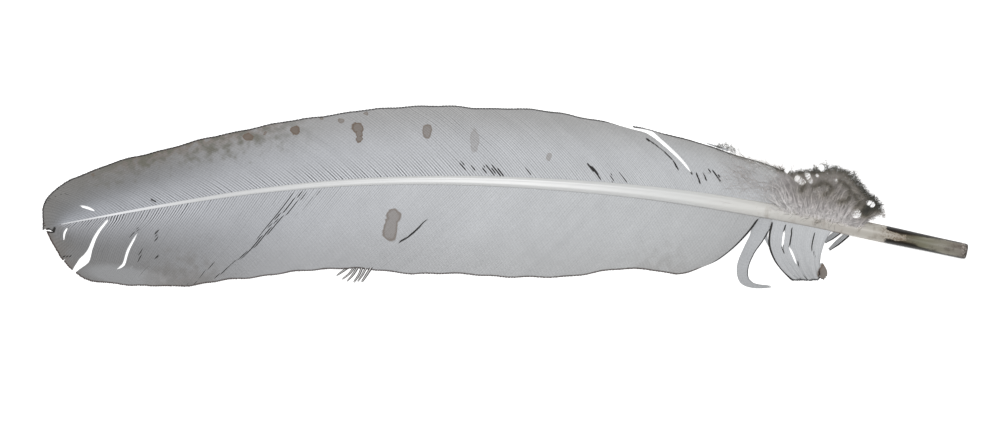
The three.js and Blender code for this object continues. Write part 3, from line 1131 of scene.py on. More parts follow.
@dataclass
class Vane:
    """One vane: barbs that leave the shaft one beside the other and end along the feather's edge.

    Each station is a barb: the x where it leaves the shaft, then the x and y of its tip. Each seam tells for
    an x how much shade is painted into the seams between barbs near the shaft, and how much further out.
    Each pitch tells for an x how far apart the barbs stand.
    """

    name: str
    side: Side
    stations: tuple[tuple[float, float, float], ...]
    partings: tuple[Parting, ...]
    shaft: Shaft
    seed: int
    seams: tuple[tuple[float, float, float], ...]
    pitch: tuple[Place, ...]
    bulge: float
    foot_bulge: float
    foot_share: float = 0.2
    dark_sides: Place = (0.0, 0.0)
    rough_share: float = 0.0
    rough_sway: float = 0.35
    near_rings: int = 11
    far_rings: int = 17
    near_share: float = 0.3
    root_offset: float = 0.3
    camber_power: float = 1.7
    edge_height: float = 0.7
    edge_wave: float = 0.9
    edge_waves: int = 5
    ridge: float = 0.1
    depth: float = 0.16
    overlap: float = 1.05
    tip_share: float = 0.8
    tip_jitter: float = 0.12
    parting_spread: float = 5.0
    cleft_width: float = 0.18
    cleft_full: float = 0.5
    across_share: float = 0.45
    seam_share: float = 0.46
    weave_length: float = 1.05
    weave_turn: float = 0.7
    curve: Curve = field(init=False)

    def __post_init__(self) -> None:
        """Draws the curve through the stations."""
        self.curve = Curve(self.stations)

    def _places(self) -> np.ndarray:
        """Returns the places of the seams between barbs, from 0 at the foot to 1 at the tip."""
        share = np.linspace(0, 1, 4000)
        roots = self.curve.at_length(share)[:, 0]
        pitch = np.interp(roots, *np.array(self.pitch).T)
        count = np.concatenate([[0], np.cumsum(np.abs(np.diff(roots)) / pitch[1:])])
        return np.interp(np.arange(int(count[-1]) + 1) * count[-1] / int(count[-1]), count, share)

    def _plan(self, u: np.ndarray) -> tuple[np.ndarray, np.ndarray, np.ndarray, np.ndarray]:
        """Finds the barbs at places along the vane.

        Args:
            u: Places from 0 at the foot to 1 at the tip.

        Returns:
            The roots, the vectors from root to tip as seen from above, their lengths, and the unit vectors
            across.
        """
        barb = self.curve.at_length(u)
        root = self.shaft.point(barb[..., 0], self.side.value * self.root_offset, self.root_offset)
        chord = barb[..., 1:3] - root[..., :2]
        length = np.linalg.norm(chord, axis=-1)
        across = np.stack([chord[..., 1], -chord[..., 0]], axis=-1) * self.side.value / length[..., None]
        return root, chord, length, across

    def surface(self, u: np.ndarray, v: np.ndarray) -> np.ndarray:
        """Finds points on the vane's back.

        Args:
            u: Places along the vane, from 0 at the foot to 1 at the tip.
            v: Places along the barb, from 0 in the shaft to 1 at the edge.

        Returns:
            Points with x, y and z in the last axis.
        """
        u, v = np.broadcast_arrays(np.asarray(u, float), np.asarray(v, float))
        root, chord, length, across = self._plan(u)
        bulge = self.foot_bulge + (self.bulge - self.foot_bulge) * smooth(0, self.foot_share, u)
        sway = 0.25 * np.sin(2 * math.pi * (1.7 * v + 9 * u)) * v
        sway += 0.2 * np.sin(2 * math.pi * (2.6 * v - 21 * u)) * v * v
        bow = bulge * smooth(3, 14, length) * length * 4 * v * (1 - v) + sway * length / 45
        plan = root[..., :2] + chord * v[..., None] + across * bow[..., None]
        edge = self.edge_height + self.edge_wave * np.sin(math.pi * self.edge_waves * u) ** 2
        z = root[..., 2] + (np.minimum(edge, root[..., 2]) - root[..., 2]) * np.abs(v) ** self.camber_power
        ripple = 0.14 * np.sin(2 * math.pi * 13 * u) + 0.09 * np.sin(2 * math.pi * (31 * u + 0.8 * v) + 1)
        return np.concatenate([plan, (z + (ripple + 0.2) * v**1.3)[..., None]], axis=-1)

    def _slant(self, u: np.ndarray) -> np.ndarray:
        """Returns the sine of the angle at which barbs meet the feather's edge."""
        step = 0.004
        barb = unit((self.surface(u, 1.0) - self.surface(u, 0.96))[..., :2])
        ahead, behind = self.surface(np.minimum(u + step, 1), 1.0), self.surface(np.maximum(u - step, 0), 1.0)
        edge = unit((ahead - behind)[..., :2])
        return np.maximum(0.25, np.abs(barb[..., 0] * edge[..., 1] - barb[..., 1] * edge[..., 0]))

    def _route(self, parting: Parting) -> tuple[np.ndarray, np.ndarray, np.ndarray, np.ndarray]:
        """Finds where a parting runs on the vane.

        Args:
            parting: The parting.

        Returns:
            Its points as seen from above, their places along the vane and along the barb, and its widths
            there, all in order from the shaft outwards.
        """
        steps = np.linspace(0, 1, 32)
        path = Curve(parting.line).at(steps)
        widths = np.interp(steps, np.linspace(0, 1, len(parting.widths)), parting.widths)
        net_u, net_v = np.linspace(0, 1, 1400)[:, None], np.linspace(0, 1.04, 90)[None, :]
        net = self.surface(net_u, net_v)[..., :2]
        far = np.linalg.norm(net[None] - path[:, None, None], axis=-1).reshape(len(path), -1)
        rows, columns = np.unravel_index(np.argmin(far, axis=1), net.shape[:2])
        order = np.argsort(net_v[0, columns])
        return path[order], net_u[rows, 0][order], net_v[0, columns][order], widths[order]

    def _parted(
        self, seams: np.ndarray, u: np.ndarray, v: np.ndarray, own: np.ndarray, plan: np.ndarray, routes: list
    ) -> tuple[np.ndarray, np.ndarray]:
        """Works out how the partings push barbs aside and paint shade along them.

        Args:
            seams: The places of the seams between barbs.
            u: Places along the vane, of shape (barbs, 1).
            v: Places along the barb, of shape (barbs, rings).
            own: The place of the middle of the barb that each u belongs to.
            plan: The same points as seen from above, before they are pushed.
            routes: The partings' routes.

        Returns:
            The shift across the barb in millimetres, and how much shade is painted into the cleft.
        """
        shift = np.zeros(v.shape)
        dark = np.zeros(v.shape)
        hold = smooth(0, 0.12, v)
        for parting, (path, path_u, path_v, widths) in zip(self.partings, routes):
            low, high = path_v[0], path_v[-1]
            # A crossing parting is only a line of painted shade over the barbs.
            if parting.kind is Slit.CROSSING:
                away = np.linalg.norm(plan[:, :, None] - path, axis=-1)
                wide = widths[np.argmin(away, axis=-1)]
                line = np.exp(-((away.min(axis=-1) / (self.cleft_width * (0.75 + wide))) ** 2))
                dark = np.maximum(dark, line * np.clip(wide / 0.32, 0, 1))
                continue
            # A closed parting is only painted shade along the seam nearest its line.
            if parting.kind is Slit.CLOSED:
                aim = np.interp(v, path_v, path_u)
                seam = seams[np.abs(aim[..., None] - seams).argmin(axis=-1)]
                window = smooth(low - 0.03, low, v) * (1 - smooth(high, high + 0.03, v))
                line = window * np.clip(np.interp(v, path_v, widths) / self.cleft_full, 0, 1)
                dark = np.maximum(dark, line * (np.abs(u - seam) < 1e-9))
                continue
            if parting.tip_x is None:
                gap = seams[np.argmin(np.abs(seams - np.median(path_u)))]
            else:
                gap = seams[np.argmin(np.abs(self.curve.at_length(seams)[:, 1] - parting.tip_x))]
            _, _, _, across = self._plan(np.array(gap))
            aside = (path - self.surface(gap, path_v)[:, :2]) @ across
            window = smooth(low - 0.02, low + 0.03, v)
            if high < 0.95:
                window = window * (1 - smooth(high - 0.03, high + 0.02, v))
            width = np.interp(v, path_v, widths) * window
            centre = np.interp(v, path_v, aside)
            centre = centre * smooth(low - 0.25, low, v) * (1 - smooth(high, high + 0.25, v)) * hold
            off = np.abs(u - gap) * self.curve.lengths[-1] * self.across_share
            side = np.where(own < gap, 1.0, -1.0)
            shift += (centre + side * width / 2) * np.exp(-off / self.parting_spread)
            # Faint painted shade along the edges of an open slit.
            dark = np.maximum(dark, 0.2 * np.exp(-((off / self.cleft_width) ** 2)) * window)
        return shift, dark

    def build(self, finish: BarbKeratin) -> bpy.types.Object:
        """Lays the barbs side by side.

        Args:
            finish: The vane's finish.

        Returns:
            The piece.
        """
        rng = np.random.default_rng(self.seed)
        seams = self._places()
        count = len(seams) - 1
        middle = ((seams[:-1] + seams[1:]) / 2)[:, None]
        _, _, length, _ = self._plan(middle)
        jitter = 0.6 * rng.uniform(-1, 1, (count, 1)) + drift(rng, count, 7)[:, None]
        stretch = 1 + self.tip_jitter * jitter / length
        near = np.linspace(0, self.near_share, self.near_rings)
        far = np.linspace(self.near_share, 0.97, self.far_rings)[1:]
        v = np.concatenate([near, far, [0.985, 1.0]])[None, :] * stretch
        rings = v.shape[1]
        rough = smooth(self.rough_share, 0, middle) if self.rough_share else np.zeros_like(middle)
        wild = np.stack([drift(rng, rings * 3, 5)[:rings] for _ in range(count)])
        routes = [self._route(parting) for parting in self.partings]
        lines, darks = [], []
        for u in (seams[:-1, None], middle, seams[1:, None]):
            point = self.surface(u, v)
            _, _, _, across = self._plan(u)
            shift, dark = self._parted(seams, u, v, middle, point[..., :2], routes)
            point[..., :2] += across * (shift + rough * wild * v * self.rough_sway)[..., None]
            point[..., 2] += rough * np.abs(wild) * v * self.rough_sway
            lines.append(point)
            darks.append(dark)
        foot_line, ridge_line, tip_line = lines
        # The end barbs get painted shade along their outer borders, as strong as dark_sides.
        for barb, border, strength in ((0, 0, self.dark_sides[0]), (-1, 2, self.dark_sides[1])):
            line = strength * smooth(0.06, 0.16, v[barb])
            darks[border][barb] = np.maximum(darks[border][barb], line)
            darks[1][barb] = np.maximum(darks[1][barb], 0.8 * line)
        taper = np.full((count, rings, 1), self.overlap)
        taper[:, -1] = self.tip_share
        foot_line = ridge_line + (foot_line - ridge_line) * taper
        tip_line = ridge_line + (tip_line - ridge_line) * taper
        groove = self._grooves(rng, seams, v)
        weave = v * length / self.weave_length + self.weave_turn * np.arange(count)[:, None]
        half = self.weave_turn / 2
        # Shade is painted into the seams, and the ridges between them are painted paler by its mean, so that
        # the vane keeps its mean tone.
        mean = self.seam_share * (groove[:-1] + groove[1:]) / 2
        around = [
            (foot_line, groove[:-1], weave - half, darks[0]), (tip_line, groove[1:], weave + half, darks[2])
        ]
        if self.side is Side.UPPER:
            around.reverse()
        (left, left_groove, left_weave, left_dark), (right, right_groove, right_weave, right_dark) = around
        barbs = barb_rings(left, ridge_line, right, self.ridge, self.depth)
        grooves = np.stack([left_groove, 0 * v, right_groove, 0 * v + 0.2], axis=-1)
        tone = 0.5 + 0.25 * drift(rng, count, 4) + 0.3 * drift(rng, count, 19)
        tone += 0.2 * rng.uniform(-1, 1, count)
        draft = Draft()
        draft.add_strands(
            barbs,
            {
                "reach": v[..., None],
                "edge_mm": ((v[:, -1:] - v) * length * self._slant(middle))[..., None],
                "groove": (grooves - mean[..., None]) / (1 - mean[..., None]),
                "cleft": np.stack([left_dark, darks[1], right_dark, darks[1]], axis=-1),
                "weave": np.stack([left_weave, weave, right_weave, weave], axis=-1),
                "tone": tone[:, None, None],
            },
        )
        return draft.piece(self.name, finish.material())

    def _grooves(self, rng: np.random.Generator, seams: np.ndarray, v: np.ndarray) -> np.ndarray:
        """Works out how much shade is painted into each seam along its barb: some stand out, and all fade away
        from the shaft.
        """
        x, near, far = np.array(self.seams).T
        roots = self.curve.at_length(seams)[:, 0]
        near, far = np.interp(roots, x, near)[:, None], np.interp(roots, x, far)[:, None]
        strength = near + (far - near) * smooth(0.06, 0.38, v[:1])
        count = len(seams)
        uneven = 0.98 + 0.12 * drift(rng, count, 3) + 0.1 * rng.uniform(-1, 1, count)
        uneven += 0.1 * (rng.uniform(0, 1, count) > 0.93)
        patchy = np.stack([drift(rng, v.shape[1], 4) for _ in range(count)])
        return strength * uneven[:, None] * (1 + 0.3 * patchy)


@dataclass(frozen=True)
class Band:
    """A ribbon of barbs that still hold together: its line from the shaft outwards, and its widths at even
    steps.
    """

    line: tuple[Place, ...]
    widths: tuple[float, ...]


@dataclass
class LooseBarbs:
    """Bands of barbs that have come loose, each drooping from its root until its end lies on the table."""

    name: str
    bands: tuple[Band, ...]
    root_height: float | None
    shaft: Shaft
    seed: int
    barb_width: float = 0.68
    tip_height: float = 0.7
    rings: int = 30
    ridge: float = 0.08
    depth: float = 0.14
    # Painted shade: seam in the seams between a band's barbs, dark_sides along its outer borders.
    seam: float = 0.1
    raggedness: float = 0.012
    dark_sides: Place = (1.0, 0.22)

    def build(self, finish: BarbKeratin) -> bpy.types.Object:
        """Splits each band into barbs.

        Args:
            finish: The barbs' finish.

        Returns:
            The piece.
        """
        rng = np.random.default_rng(self.seed)
        draft = Draft()
        for band in self.bands:
            self._add_band(draft, band, rng)
        return draft.piece(self.name, finish.material())

    def _add_band(self, draft: Draft, band: Band, rng: np.random.Generator) -> None:
        """Adds one band's barbs to the draft."""
        count = max(2, round(max(band.widths) / self.barb_width))
        curve = Curve(band.line)
        length = curve.lengths[-1]
        start = self.root_height if self.root_height is not None else float(
            self.shaft.height(band.line[0][0])
        )
        ends = 1 - np.abs(rng.normal(0, self.raggedness, count)) * min(1.0, 20 / length)
        v = np.linspace(0, 1, self.rings)[None, :] * ends[:, None]
        middle = curve.at(v)
        along = curve.direction(v)
        across = np.stack([along[..., 1], -along[..., 0]], axis=-1)
        width = np.interp(v, np.linspace(0, 1, len(band.widths)), band.widths)
        z = start + (self.tip_height - start) * smooth(0, 1, v)
        bow = 0.35 * np.sin(math.pi * v)
        lines = []
        for step in (0.0, 0.5, 1.0):
            place = (np.arange(count) + step)[:, None] / count
            roof = z + bow * (1 - (2 * place - 1) ** 2)
            plan = middle + across * ((place - 0.5) * width)[..., None]
            lines.append(np.concatenate([plan, roof[..., None]], axis=-1))
        left, ridge_line, right = lines
        taper = np.full((count, self.rings, 1), 1.05)
        taper[:, -1] = 0.4
        rings = barb_rings(
            ridge_line + (left - ridge_line) * taper,
            ridge_line,
            ridge_line + (right - ridge_line) * taper,
            self.ridge,
            self.depth,
        )
        # Painted shade along the outer borders of a band of three or more barbs.
        border = np.zeros((count, self.rings, 4))
        if count > 2:
            border[0] = self.dark_sides[0] * np.array([1.0, 0.9, 0.4, 0.9])
            border[-1] = self.dark_sides[1] * np.array([0.4, 0.9, 1.0, 0.9])
        draft.add_strands(
            rings,
            {
                "reach": v[..., None],
                "edge_mm": ((v[:, -1:] - v) * length)[..., None] + 0.2,
                "groove": self.seam * np.array([1.0, 0.0, 1.0, 1.0])[None, None, :],
                "cleft": border,
                "weave": (v * length)[..., None],
                "tone": rng.uniform(0.3, 0.7, count)[:, None, None],
            },
        )


@dataclass(frozen=True)
class Hole:
    """A gap in the down, as a centre and a radius."""

    x: float
    y: float
    radius: float


@dataclass
class DownTuft:
    """The tuft of down at the foot of the upper vane: a fan of soft barbs, fringed with barbules.

    Barbs end short of the outline by shortfall on average, as a share of their length. Barbules start at
    barbules_from, a share of the barb. Swirls are lines along which the down is matted and looks darker.
    """

    name: str
    shaft: Shaft
    seed: int
    shortfall: float
    barbules_from: float
    barbule_length: Place
    barbs: int = 330
    barbules: int = 42
    barbule_width: float = 0.09
    rings: int = 22
    roots_x: Place = (97.0, 122.5)
    outline: tuple[Place, ...] = (
        (90.0, 10.2),
        (95.0, 9.4),
        (99.6, 8.6),
        (104.0, 9.0),
        (109.0, 9.6),
        (114.0, 10.7),
        (118.6, 9.6),
        (122.2, 6.2),
        (125.4, 2.4),
        (128.2, -1.0),
        (131.0, -3.0),
        (126.2, -3.8),
        (124.6, -5.6),
    )
    holes: tuple[Hole, ...] = (
        Hole(97.6, 8.6, 0.55),
        Hole(101.4, 6.2, 0.95),
        Hole(102.3, 5.6, 1.0),
        Hole(103.2, 5.0, 0.95),
        Hole(104.9, 7.4, 0.75),
        Hole(105.4, 6.4, 0.8),
        Hole(105.9, 5.3, 0.75),
        Hole(108.3, 7.4, 0.55),
        Hole(110.0, 9.8, 0.9),
        Hole(114.7, 5.6, 0.55),
        Hole(126.1, -2.2, 0.9),
        Hole(127.4, -2.8, 0.9),
        Hole(121.8, -6.1, 1.6),
    )
    rim_width: Place = (1.1, 2.6)
    rim_x: Place = (98.0, 119.0)
    swirls: tuple[tuple[Place, ...], ...] = (
        ((93.0, 9.8), (98.5, 8.0), (103.5, 4.6), (102.4, 2.0)),
        ((107.0, 3.5), (111.0, 4.6), (113.0, 2.4), (110.4, 0.6)),
        ((116.0, 5.4), (119.4, 2.6), (118.6, -0.8), (115.6, -2.0)),
        ((121.0, 0.6), (122.6, -2.2), (121.0, -4.4)),
    )
    swirl_width: float = 1.0
    crown: float = 2.4
    tip_height: float = 0.8
    barb_width: float = 0.22
    pale_x: Place = (103.0, 95.0)

    def _around_holes(self, points: np.ndarray) -> np.ndarray:
        """Moves points out of the holes."""
        for hole in self.holes:
            away = points[..., :2] - (hole.x, hole.y)
            far = np.linalg.norm(away, axis=-1, keepdims=True)
            reach = 2.2 * hole.radius
            push = np.maximum(0, reach - far) / reach * hole.radius * 1.15
            points[..., :2] += unit(away) * push
        return points

    def _tone(self, points: np.ndarray, rng: np.random.Generator) -> np.ndarray:
        """Gives points a tone that changes in soft patches 3 to 6 mm wide, with some chance of its own."""
        x, y = points[..., 0], points[..., 1]
        patch = np.sin(1.5 * x + 0.7 * y + 1) + np.sin(1.9 * y - 0.8 * x)
        patch += 0.6 * np.sin(2.9 * x - 1.3 * y + 2)
        return np.clip(0.48 + 0.12 * patch + rng.normal(0, 0.09, x.shape), 0.02, 0.98)

    def _shade(self, points: np.ndarray) -> np.ndarray:
        """Tells how dark the down is: pale by the shaft and the vane, darker above, darkest at its rim and in
        swirls.
        """
        x, y = points[..., 0], points[..., 1]
        above = y - self.shaft.point(x, 1.0, 0.0)[..., 1]
        body = 0.1 + 0.42 * smooth(0, 6, above)
        body = body * (1 - 0.8 * smooth(*self.pale_x, x))
        wide = self.rim_width[0] + (self.rim_width[1] - self.rim_width[0]) * smooth(*self.rim_x, x)
        dark = np.exp(-((self._away(points, self.outline) / wide) ** 2))
        for swirl in self.swirls:
            dark = np.maximum(dark, 0.6 * np.exp(-((self._away(points, swirl) / self.swirl_width) ** 2)))
        return body + (1 - body) * dark

    @staticmethod
    def _away(points: np.ndarray, knots: tuple[Place, ...]) -> np.ndarray:
        """Returns the distance of points from a curve, as seen from above."""
        line = Curve(knots).at_length(np.linspace(0, 1, 60))
        return np.linalg.norm(points[..., None, :2] - line, axis=-1).min(axis=-1)

    def build(self, finish: DownFluff) -> bpy.types.Object:
        """Grows the barbs, then the barbules along them.

        Args:
            finish: The down's finish.

        Returns:
            The piece.
        """
        rng = np.random.default_rng(self.seed)
        count = self.barbs
        place = (np.arange(count) + rng.uniform(0, 1, count)) / count
        rng.shuffle(place)
        start_x = self.roots_x[0] + (self.roots_x[1] - self.roots_x[0]) * place
        lean = rng.uniform(-0.15, 0.95, count)
        root = self.shaft.point(start_x, np.sin(lean), np.cos(lean) * 0.95)
        rim = Curve(self.outline).at(np.clip(place + rng.normal(0, 0.05, count), 0, 1))
        reach = np.clip(1 - np.abs(rng.normal(0, self.shortfall, count)), 0.3, 1.02)
        v = np.linspace(0, 1, self.rings)[None, :]
        chord = (rim - root[:, :2]) * reach[:, None]
        length = np.linalg.norm(chord, axis=-1)
        across = np.stack([-chord[:, 1], chord[:, 0]], axis=-1) / length[:, None]
        bow = rng.normal(0.1, 0.17, count)[:, None] * length[:, None] * np.sin(math.pi * v)
        hook = rng.normal(0, 0.16, count)[:, None] * length[:, None] * v**3
        wave = 0.5 * np.sin(
            2 * math.pi * (rng.uniform(1, 2.6, (count, 1)) * v + rng.uniform(0, 1, (count, 1)))
        ) * v
        aside = across[:, None] * (bow + hook + wave)[..., None]
        plan = root[:, None, :2] + chord[:, None] * v[..., None] + aside
        lift = rng.uniform(0.1, 1.0, count)[:, None] * self.crown
        droop = (self.tip_height + lift * 0.3 - root[:, 2:3]) * v**1.4
        z = root[:, 2:3] + droop + lift * np.sin(math.pi * np.minimum(1, v * 1.1))
        line = self._around_holes(np.concatenate([plan, z[..., None]], axis=-1))
        along = unit(np.gradient(line, axis=1))
        flat = unit(np.stack([along[..., 1], -along[..., 0], np.zeros_like(along[..., 0])], axis=-1))
        width = self.barb_width * (1 - 0.6 * v) * rng.uniform(0.6, 1.2, count)[:, None]
        half = flat * (width / 2)[..., None]
        shade = self._shade(line)
        draft = Draft()
        draft.add_strands(
            barb_rings(line - half, line, line + half, 0.05, 0.08),
            {"reach": shade[..., None], "tone": self._tone(line, rng)[..., None]},
            shade_spots=True,
        )
        self._add_barbules(draft, line, along, flat, rng)
        return draft.piece(self.name, finish.material(), stripes=False)

    def _add_barbules(
        self,
        draft: Draft,
        line: np.ndarray,
        along: np.ndarray,
        flat: np.ndarray,
        rng: np.random.Generator,
    ) -> None:
        """Fringes the outer part of every barb with hairs that lean towards its tip."""
        shape = (len(line), self.barbules)
        at = rng.uniform(self.barbules_from, 1.0, shape) * (self.rings - 1)
        low = np.minimum(at.astype(int), self.rings - 2)
        part = (at - low)[..., None]
        rows = np.arange(len(line))[:, None]
        base = line[rows, low] * (1 - part) + line[rows, low + 1] * part
        side = rng.choice([-1.0, 1.0], shape)[..., None]
        aim = along[rows, low] * rng.uniform(0.3, 1.1, shape)[..., None] + flat[rows, low] * side
        aim = unit(aim + rng.normal(0, 0.4, aim.shape) * (1, 1, 0.7))
        aim = aim * rng.uniform(*self.barbule_length, shape)[..., None]
        hair = np.stack([base, base + aim], axis=-2).reshape(-1, 2, 3)
        clear = hair[:, :, 2].min(axis=1) > 0.1
        inside = hair[:, :1] + (hair[:, 1:] - hair[:, :1]) * np.linspace(0, 1, 5)[None, :, None]
        for hole in self.holes:
            clear &= np.linalg.norm(inside[..., :2] - (hole.x, hole.y), axis=-1).min(axis=1) > hole.radius
        widths = np.array([1.0, 0.45])[None, :] * self.barbule_width
        draft.add_strands(
            hair_rings(hair[clear], widths),
            {
                "reach": self._shade(hair[clear])[..., None],
                "tone": self._tone(hair[clear][:, :1], rng)[..., None],
            },
            shade_spots=True,
        )


@dataclass(frozen=True)
class HairField:
    """A patch of loose hairs: where they start, which way they run, and how long and thick they are.

    Headings are in degrees from +X. The tone and the reach are what the finish reads, and lift is the arch's
    height.
    """

    starts: tuple[Place, ...]
    spread: float
    heading: float
    wander: float
    length: Place
    width: float
    count: int
    tone: float
    reach: float
    lift: float


@dataclass
class LooseHairs:
    """Fine hairs that lie over the foot of the upper vane, its edge and the shaft."""

    fields: tuple[HairField, ...]
    upper: Vane
    shaft: Shaft
    seed: int = 21
    rings: int = 9

    def _ground(self, plan: np.ndarray) -> np.ndarray:
        """Returns the height of the vane's back or the shaft under points seen from above."""
        net = self.upper.surface(
            np.linspace(0, 0.35, 220)[:, None], np.linspace(0, 1.0, 40)[None, :]
        ).reshape(-1, 3)
        flat = plan.reshape(-1, 2)
        nearest = np.empty(len(flat), int)
        for start in range(0, len(flat), 500):
            part = flat[start : start + 500]
            nearest[start : start + 500] = np.argmin(
                np.linalg.norm(part[:, None] - net[None, :, :2], axis=-1), axis=1
            )
        z = net[nearest, 2].reshape(plan.shape[:-1])
        away = np.linalg.norm(flat - net[nearest, :2], axis=-1).reshape(plan.shape[:-1])
        z = np.where(away > 1.5, np.maximum(z - 0.5 * (away - 1.5), 0.3), z)
        crest = self.shaft.point(plan[..., 0], 0.0, 0.0)
        radius = self.shaft.radius(plan[..., 0])
        off = np.abs(plan[..., 1] - crest[..., 1]) / radius
        dome = crest[..., 2] + radius * np.sqrt(np.maximum(0, 1 - off**2)) + 0.05
        return np.where(off < 1, np.maximum(dome, z), z)

    def build(self, finish: DownFluff) -> bpy.types.Object:
        """Combs the hairs over what lies under them.

        Args:
            finish: The hairs' finish.

        Returns:
            The piece.
        """
        rng = np.random.default_rng(self.seed)
        draft = Draft()
        v = np.linspace(0, 1, self.rings)
        for patch in self.fields:
            count = patch.count
            start = Curve(patch.starts).at(rng.uniform(0, 1, count)) + rng.normal(0, patch.spread, (count, 2))
            heading = np.radians(patch.heading + rng.normal(0, patch.wander, count))
            bend = np.radians(rng.normal(0, 1.6 * patch.wander, count))
            length = rng.uniform(*patch.length, count)
            angle = heading[:, None] + bend[:, None] * v[None, :]
            step = np.stack([np.cos(angle), np.sin(angle)], axis=-1) * (
                length[:, None, None] / (self.rings - 1)
            )
            plan = start[:, None] + np.cumsum(step, axis=1)
            arch = patch.lift * (0.25 + np.sin(math.pi * v))[None, :] * rng.uniform(0.3, 1.2, count)[:, None]
            line = np.concatenate([plan, (self._ground(plan) + arch)[..., None]], axis=-1)
            widths = patch.width * (1 - 0.7 * v)[None, :] * rng.uniform(0.7, 1.3, count)[:, None]
            tone = np.clip(patch.tone + rng.normal(0, 0.15, count), 0, 1)
            draft.add_strands(
                hair_rings(line, widths),
                {"reach": np.full((count, 1, 1), patch.reach), "tone": tone[:, None, None]},
                shade_spots=True,
            )
        return draft.piece("loose_hairs", finish.material(), stripes=False)


# ------------------------------------------------------------------------------------------------- the studio


@dataclass
class Studio:
    """A pale table under a soft light, and a camera that looks straight down on the feather."""

    table_size: float = 6000.0
    camera_height: float = 1500.0
    camera_centre: Place = (-1.73, -6.92)
    frame_width: float = 346.0
    focus_height: float = 5.0
    sensor: float = 36.0
    key_size: float = 320.0
    key_place: tuple[float, float, float] = (0.0, 130.0, 1620.0)
    key_power: float = 14.0
    sky: float = 0.4

    def build(self, card: TableCard) -> None:
        """Lays the table and places the lights and the camera.

        Args:
            card: The table's finish.
        """
        lowest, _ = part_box(NODE)
        half = self.table_size * MM / 2
        mesh = bpy.data.meshes.new("table")
        corners = [(-half, -half), (half, -half), (half, half), (-half, half)]
        mesh.from_pydata([(x, y, lowest[2] - 0.0001) for x, y in corners], [], [(0, 1, 2, 3)])
        mesh.materials.append(card.material())
        table = bpy.data.objects.new("table", mesh)
        bpy.context.scene.collection.objects.link(table)

        world = bpy.data.worlds.new("soft_room")
        world.use_nodes = True
        world.node_tree.nodes["Background"].inputs["Color"].default_value = linear("ffffff")
        world.node_tree.nodes["Background"].inputs["Strength"].default_value = self.sky
        bpy.context.scene.world = world

        light = bpy.data.lights.new("key", "AREA")
        light.shape = "DISK"
        light.size = self.key_size * MM
        light.energy = self.key_power
        lamp = bpy.data.objects.new("key", light)
        lamp.location = tuple(c * MM for c in self.key_place)
        lamp.rotation_euler = (-math.atan2(self.key_place[1], self.key_place[2]), 0, 0)
        bpy.context.scene.collection.objects.link(lamp)

        camera = bpy.data.cameras.new("camera")
        camera.sensor_width = self.sensor
        camera.lens = self.sensor * (self.camera_height - self.focus_height) / self.frame_width
        camera.clip_end = 100.0
        eye = bpy.data.objects.new("camera", camera)
        eye.location = (self.camera_centre[0] * MM, self.camera_centre[1] * MM, self.camera_height * MM)
        bpy.context.scene.collection.objects.link(eye)
        bpy.context.scene.camera = eye
        bpy.context.scene.view_settings.view_transform = "Standard"
        LOG.info("studio: table, key light, room light and camera")


UPPER_STATIONS = (
    (104.0, 96.0, 9.4),
    (98.5, 87.0, 12.6),
    (91.5, 77.0, 15.3),
    (86.0, 70.0, 18.0),
    (69.0, 44.0, 24.8),
    (33.0, 6.0, 30.6),
    (20.0, -7.5, 30.8),
    (-1.5, -29.5, 31.6),
    (-36.5, -64.5, 28.0),
    (-71.0, -99.0, 21.4),
    (-88.0, -116.5, 16.9),
    (-105.5, -134.0, 12.4),
    (-119.0, -144.3, 8.6),
    (-130.0, -152.0, 5.3),
    (-145.5, -160.0, -2.5),
    (-153.5, -160.4, -11.6),
)
UPPER_PITCH = ((-154.0, 1.05), (-120.0, 1.1), (-20.0, 1.1), (25.0, 0.95), (60.0, 0.8), (110.0, 0.78))
# Seam tables: x, then the painted shade in the seams near the shaft and further out.
UPPER_SEAMS = (
    (-158.0, 0.3, 0.14),
    (-136.0, 0.5, 0.2),
    (-116.0, 0.65, 0.24),
    (-92.0, 0.62, 0.14),
    (-64.0, 0.8, 0.16),
    (-36.0, 0.8, 0.16),
    (5.0, 0.5, 0.45),
    (33.0, 0.4, 0.3),
    (50.0, 0.4, 0.3),
    (75.0, 0.1, 0.1),
)
LOWER_STATIONS = (
    (89.2, 69.5, -24.3),
    (82.0, 60.5, -27.1),
    (76.2, 53.5, -25.9),
    (67.5, 43.0, -25.2),
    (47.0, 18.0, -28.1),
    (33.0, 1.5, -28.0),
    (22.5, -10.0, -27.2),
    (-1.5, -35.5, -26.6),
    (-22.5, -55.0, -24.9),
    (-36.5, -68.0, -25.8),
    (-71.0, -99.5, -29.6),
    (-84.0, -110.0, -31.0),
    (-105.5, -128.5, -31.0),
    (-119.0, -138.0, -29.9),
    (-129.0, -145.0, -28.9),
    (-142.0, -152.0, -23.5),
    (-150.5, -157.5, -15.5),
    (-153.5, -160.4, -9.0),
)
LOWER_PITCH = ((-154.0, 1.05), (-100.0, 1.0), (-40.0, 0.9), (90.0, 0.85))
LOWER_SEAMS = (
    (-158.0, 0.85, 0.22),
    (-133.0, 0.9, 0.22),
    (-116.0, 0.9, 0.2),
    (-90.0, 0.48, 0.16),
    (-64.0, 0.5, 0.14),
    (-35.0, 0.25, 0.14),
    (20.0, 0.2, 0.14),
    (70.0, 0.12, 0.1),
)
FAN_STATIONS = (
    (114.4, 109.2, -25.6),
    (110.4, 109.0, -28.6),
    (104.0, 106.5, -29.1),
    (98.0, 103.5, -29.2),
    (93.3, 99.8, -29.2),
)
FAN_PITCH = ((90.0, 0.8), (114.0, 0.8))
FAN_SEAMS = ((90.0, 0.06, 0.08), (114.0, 0.06, 0.08))
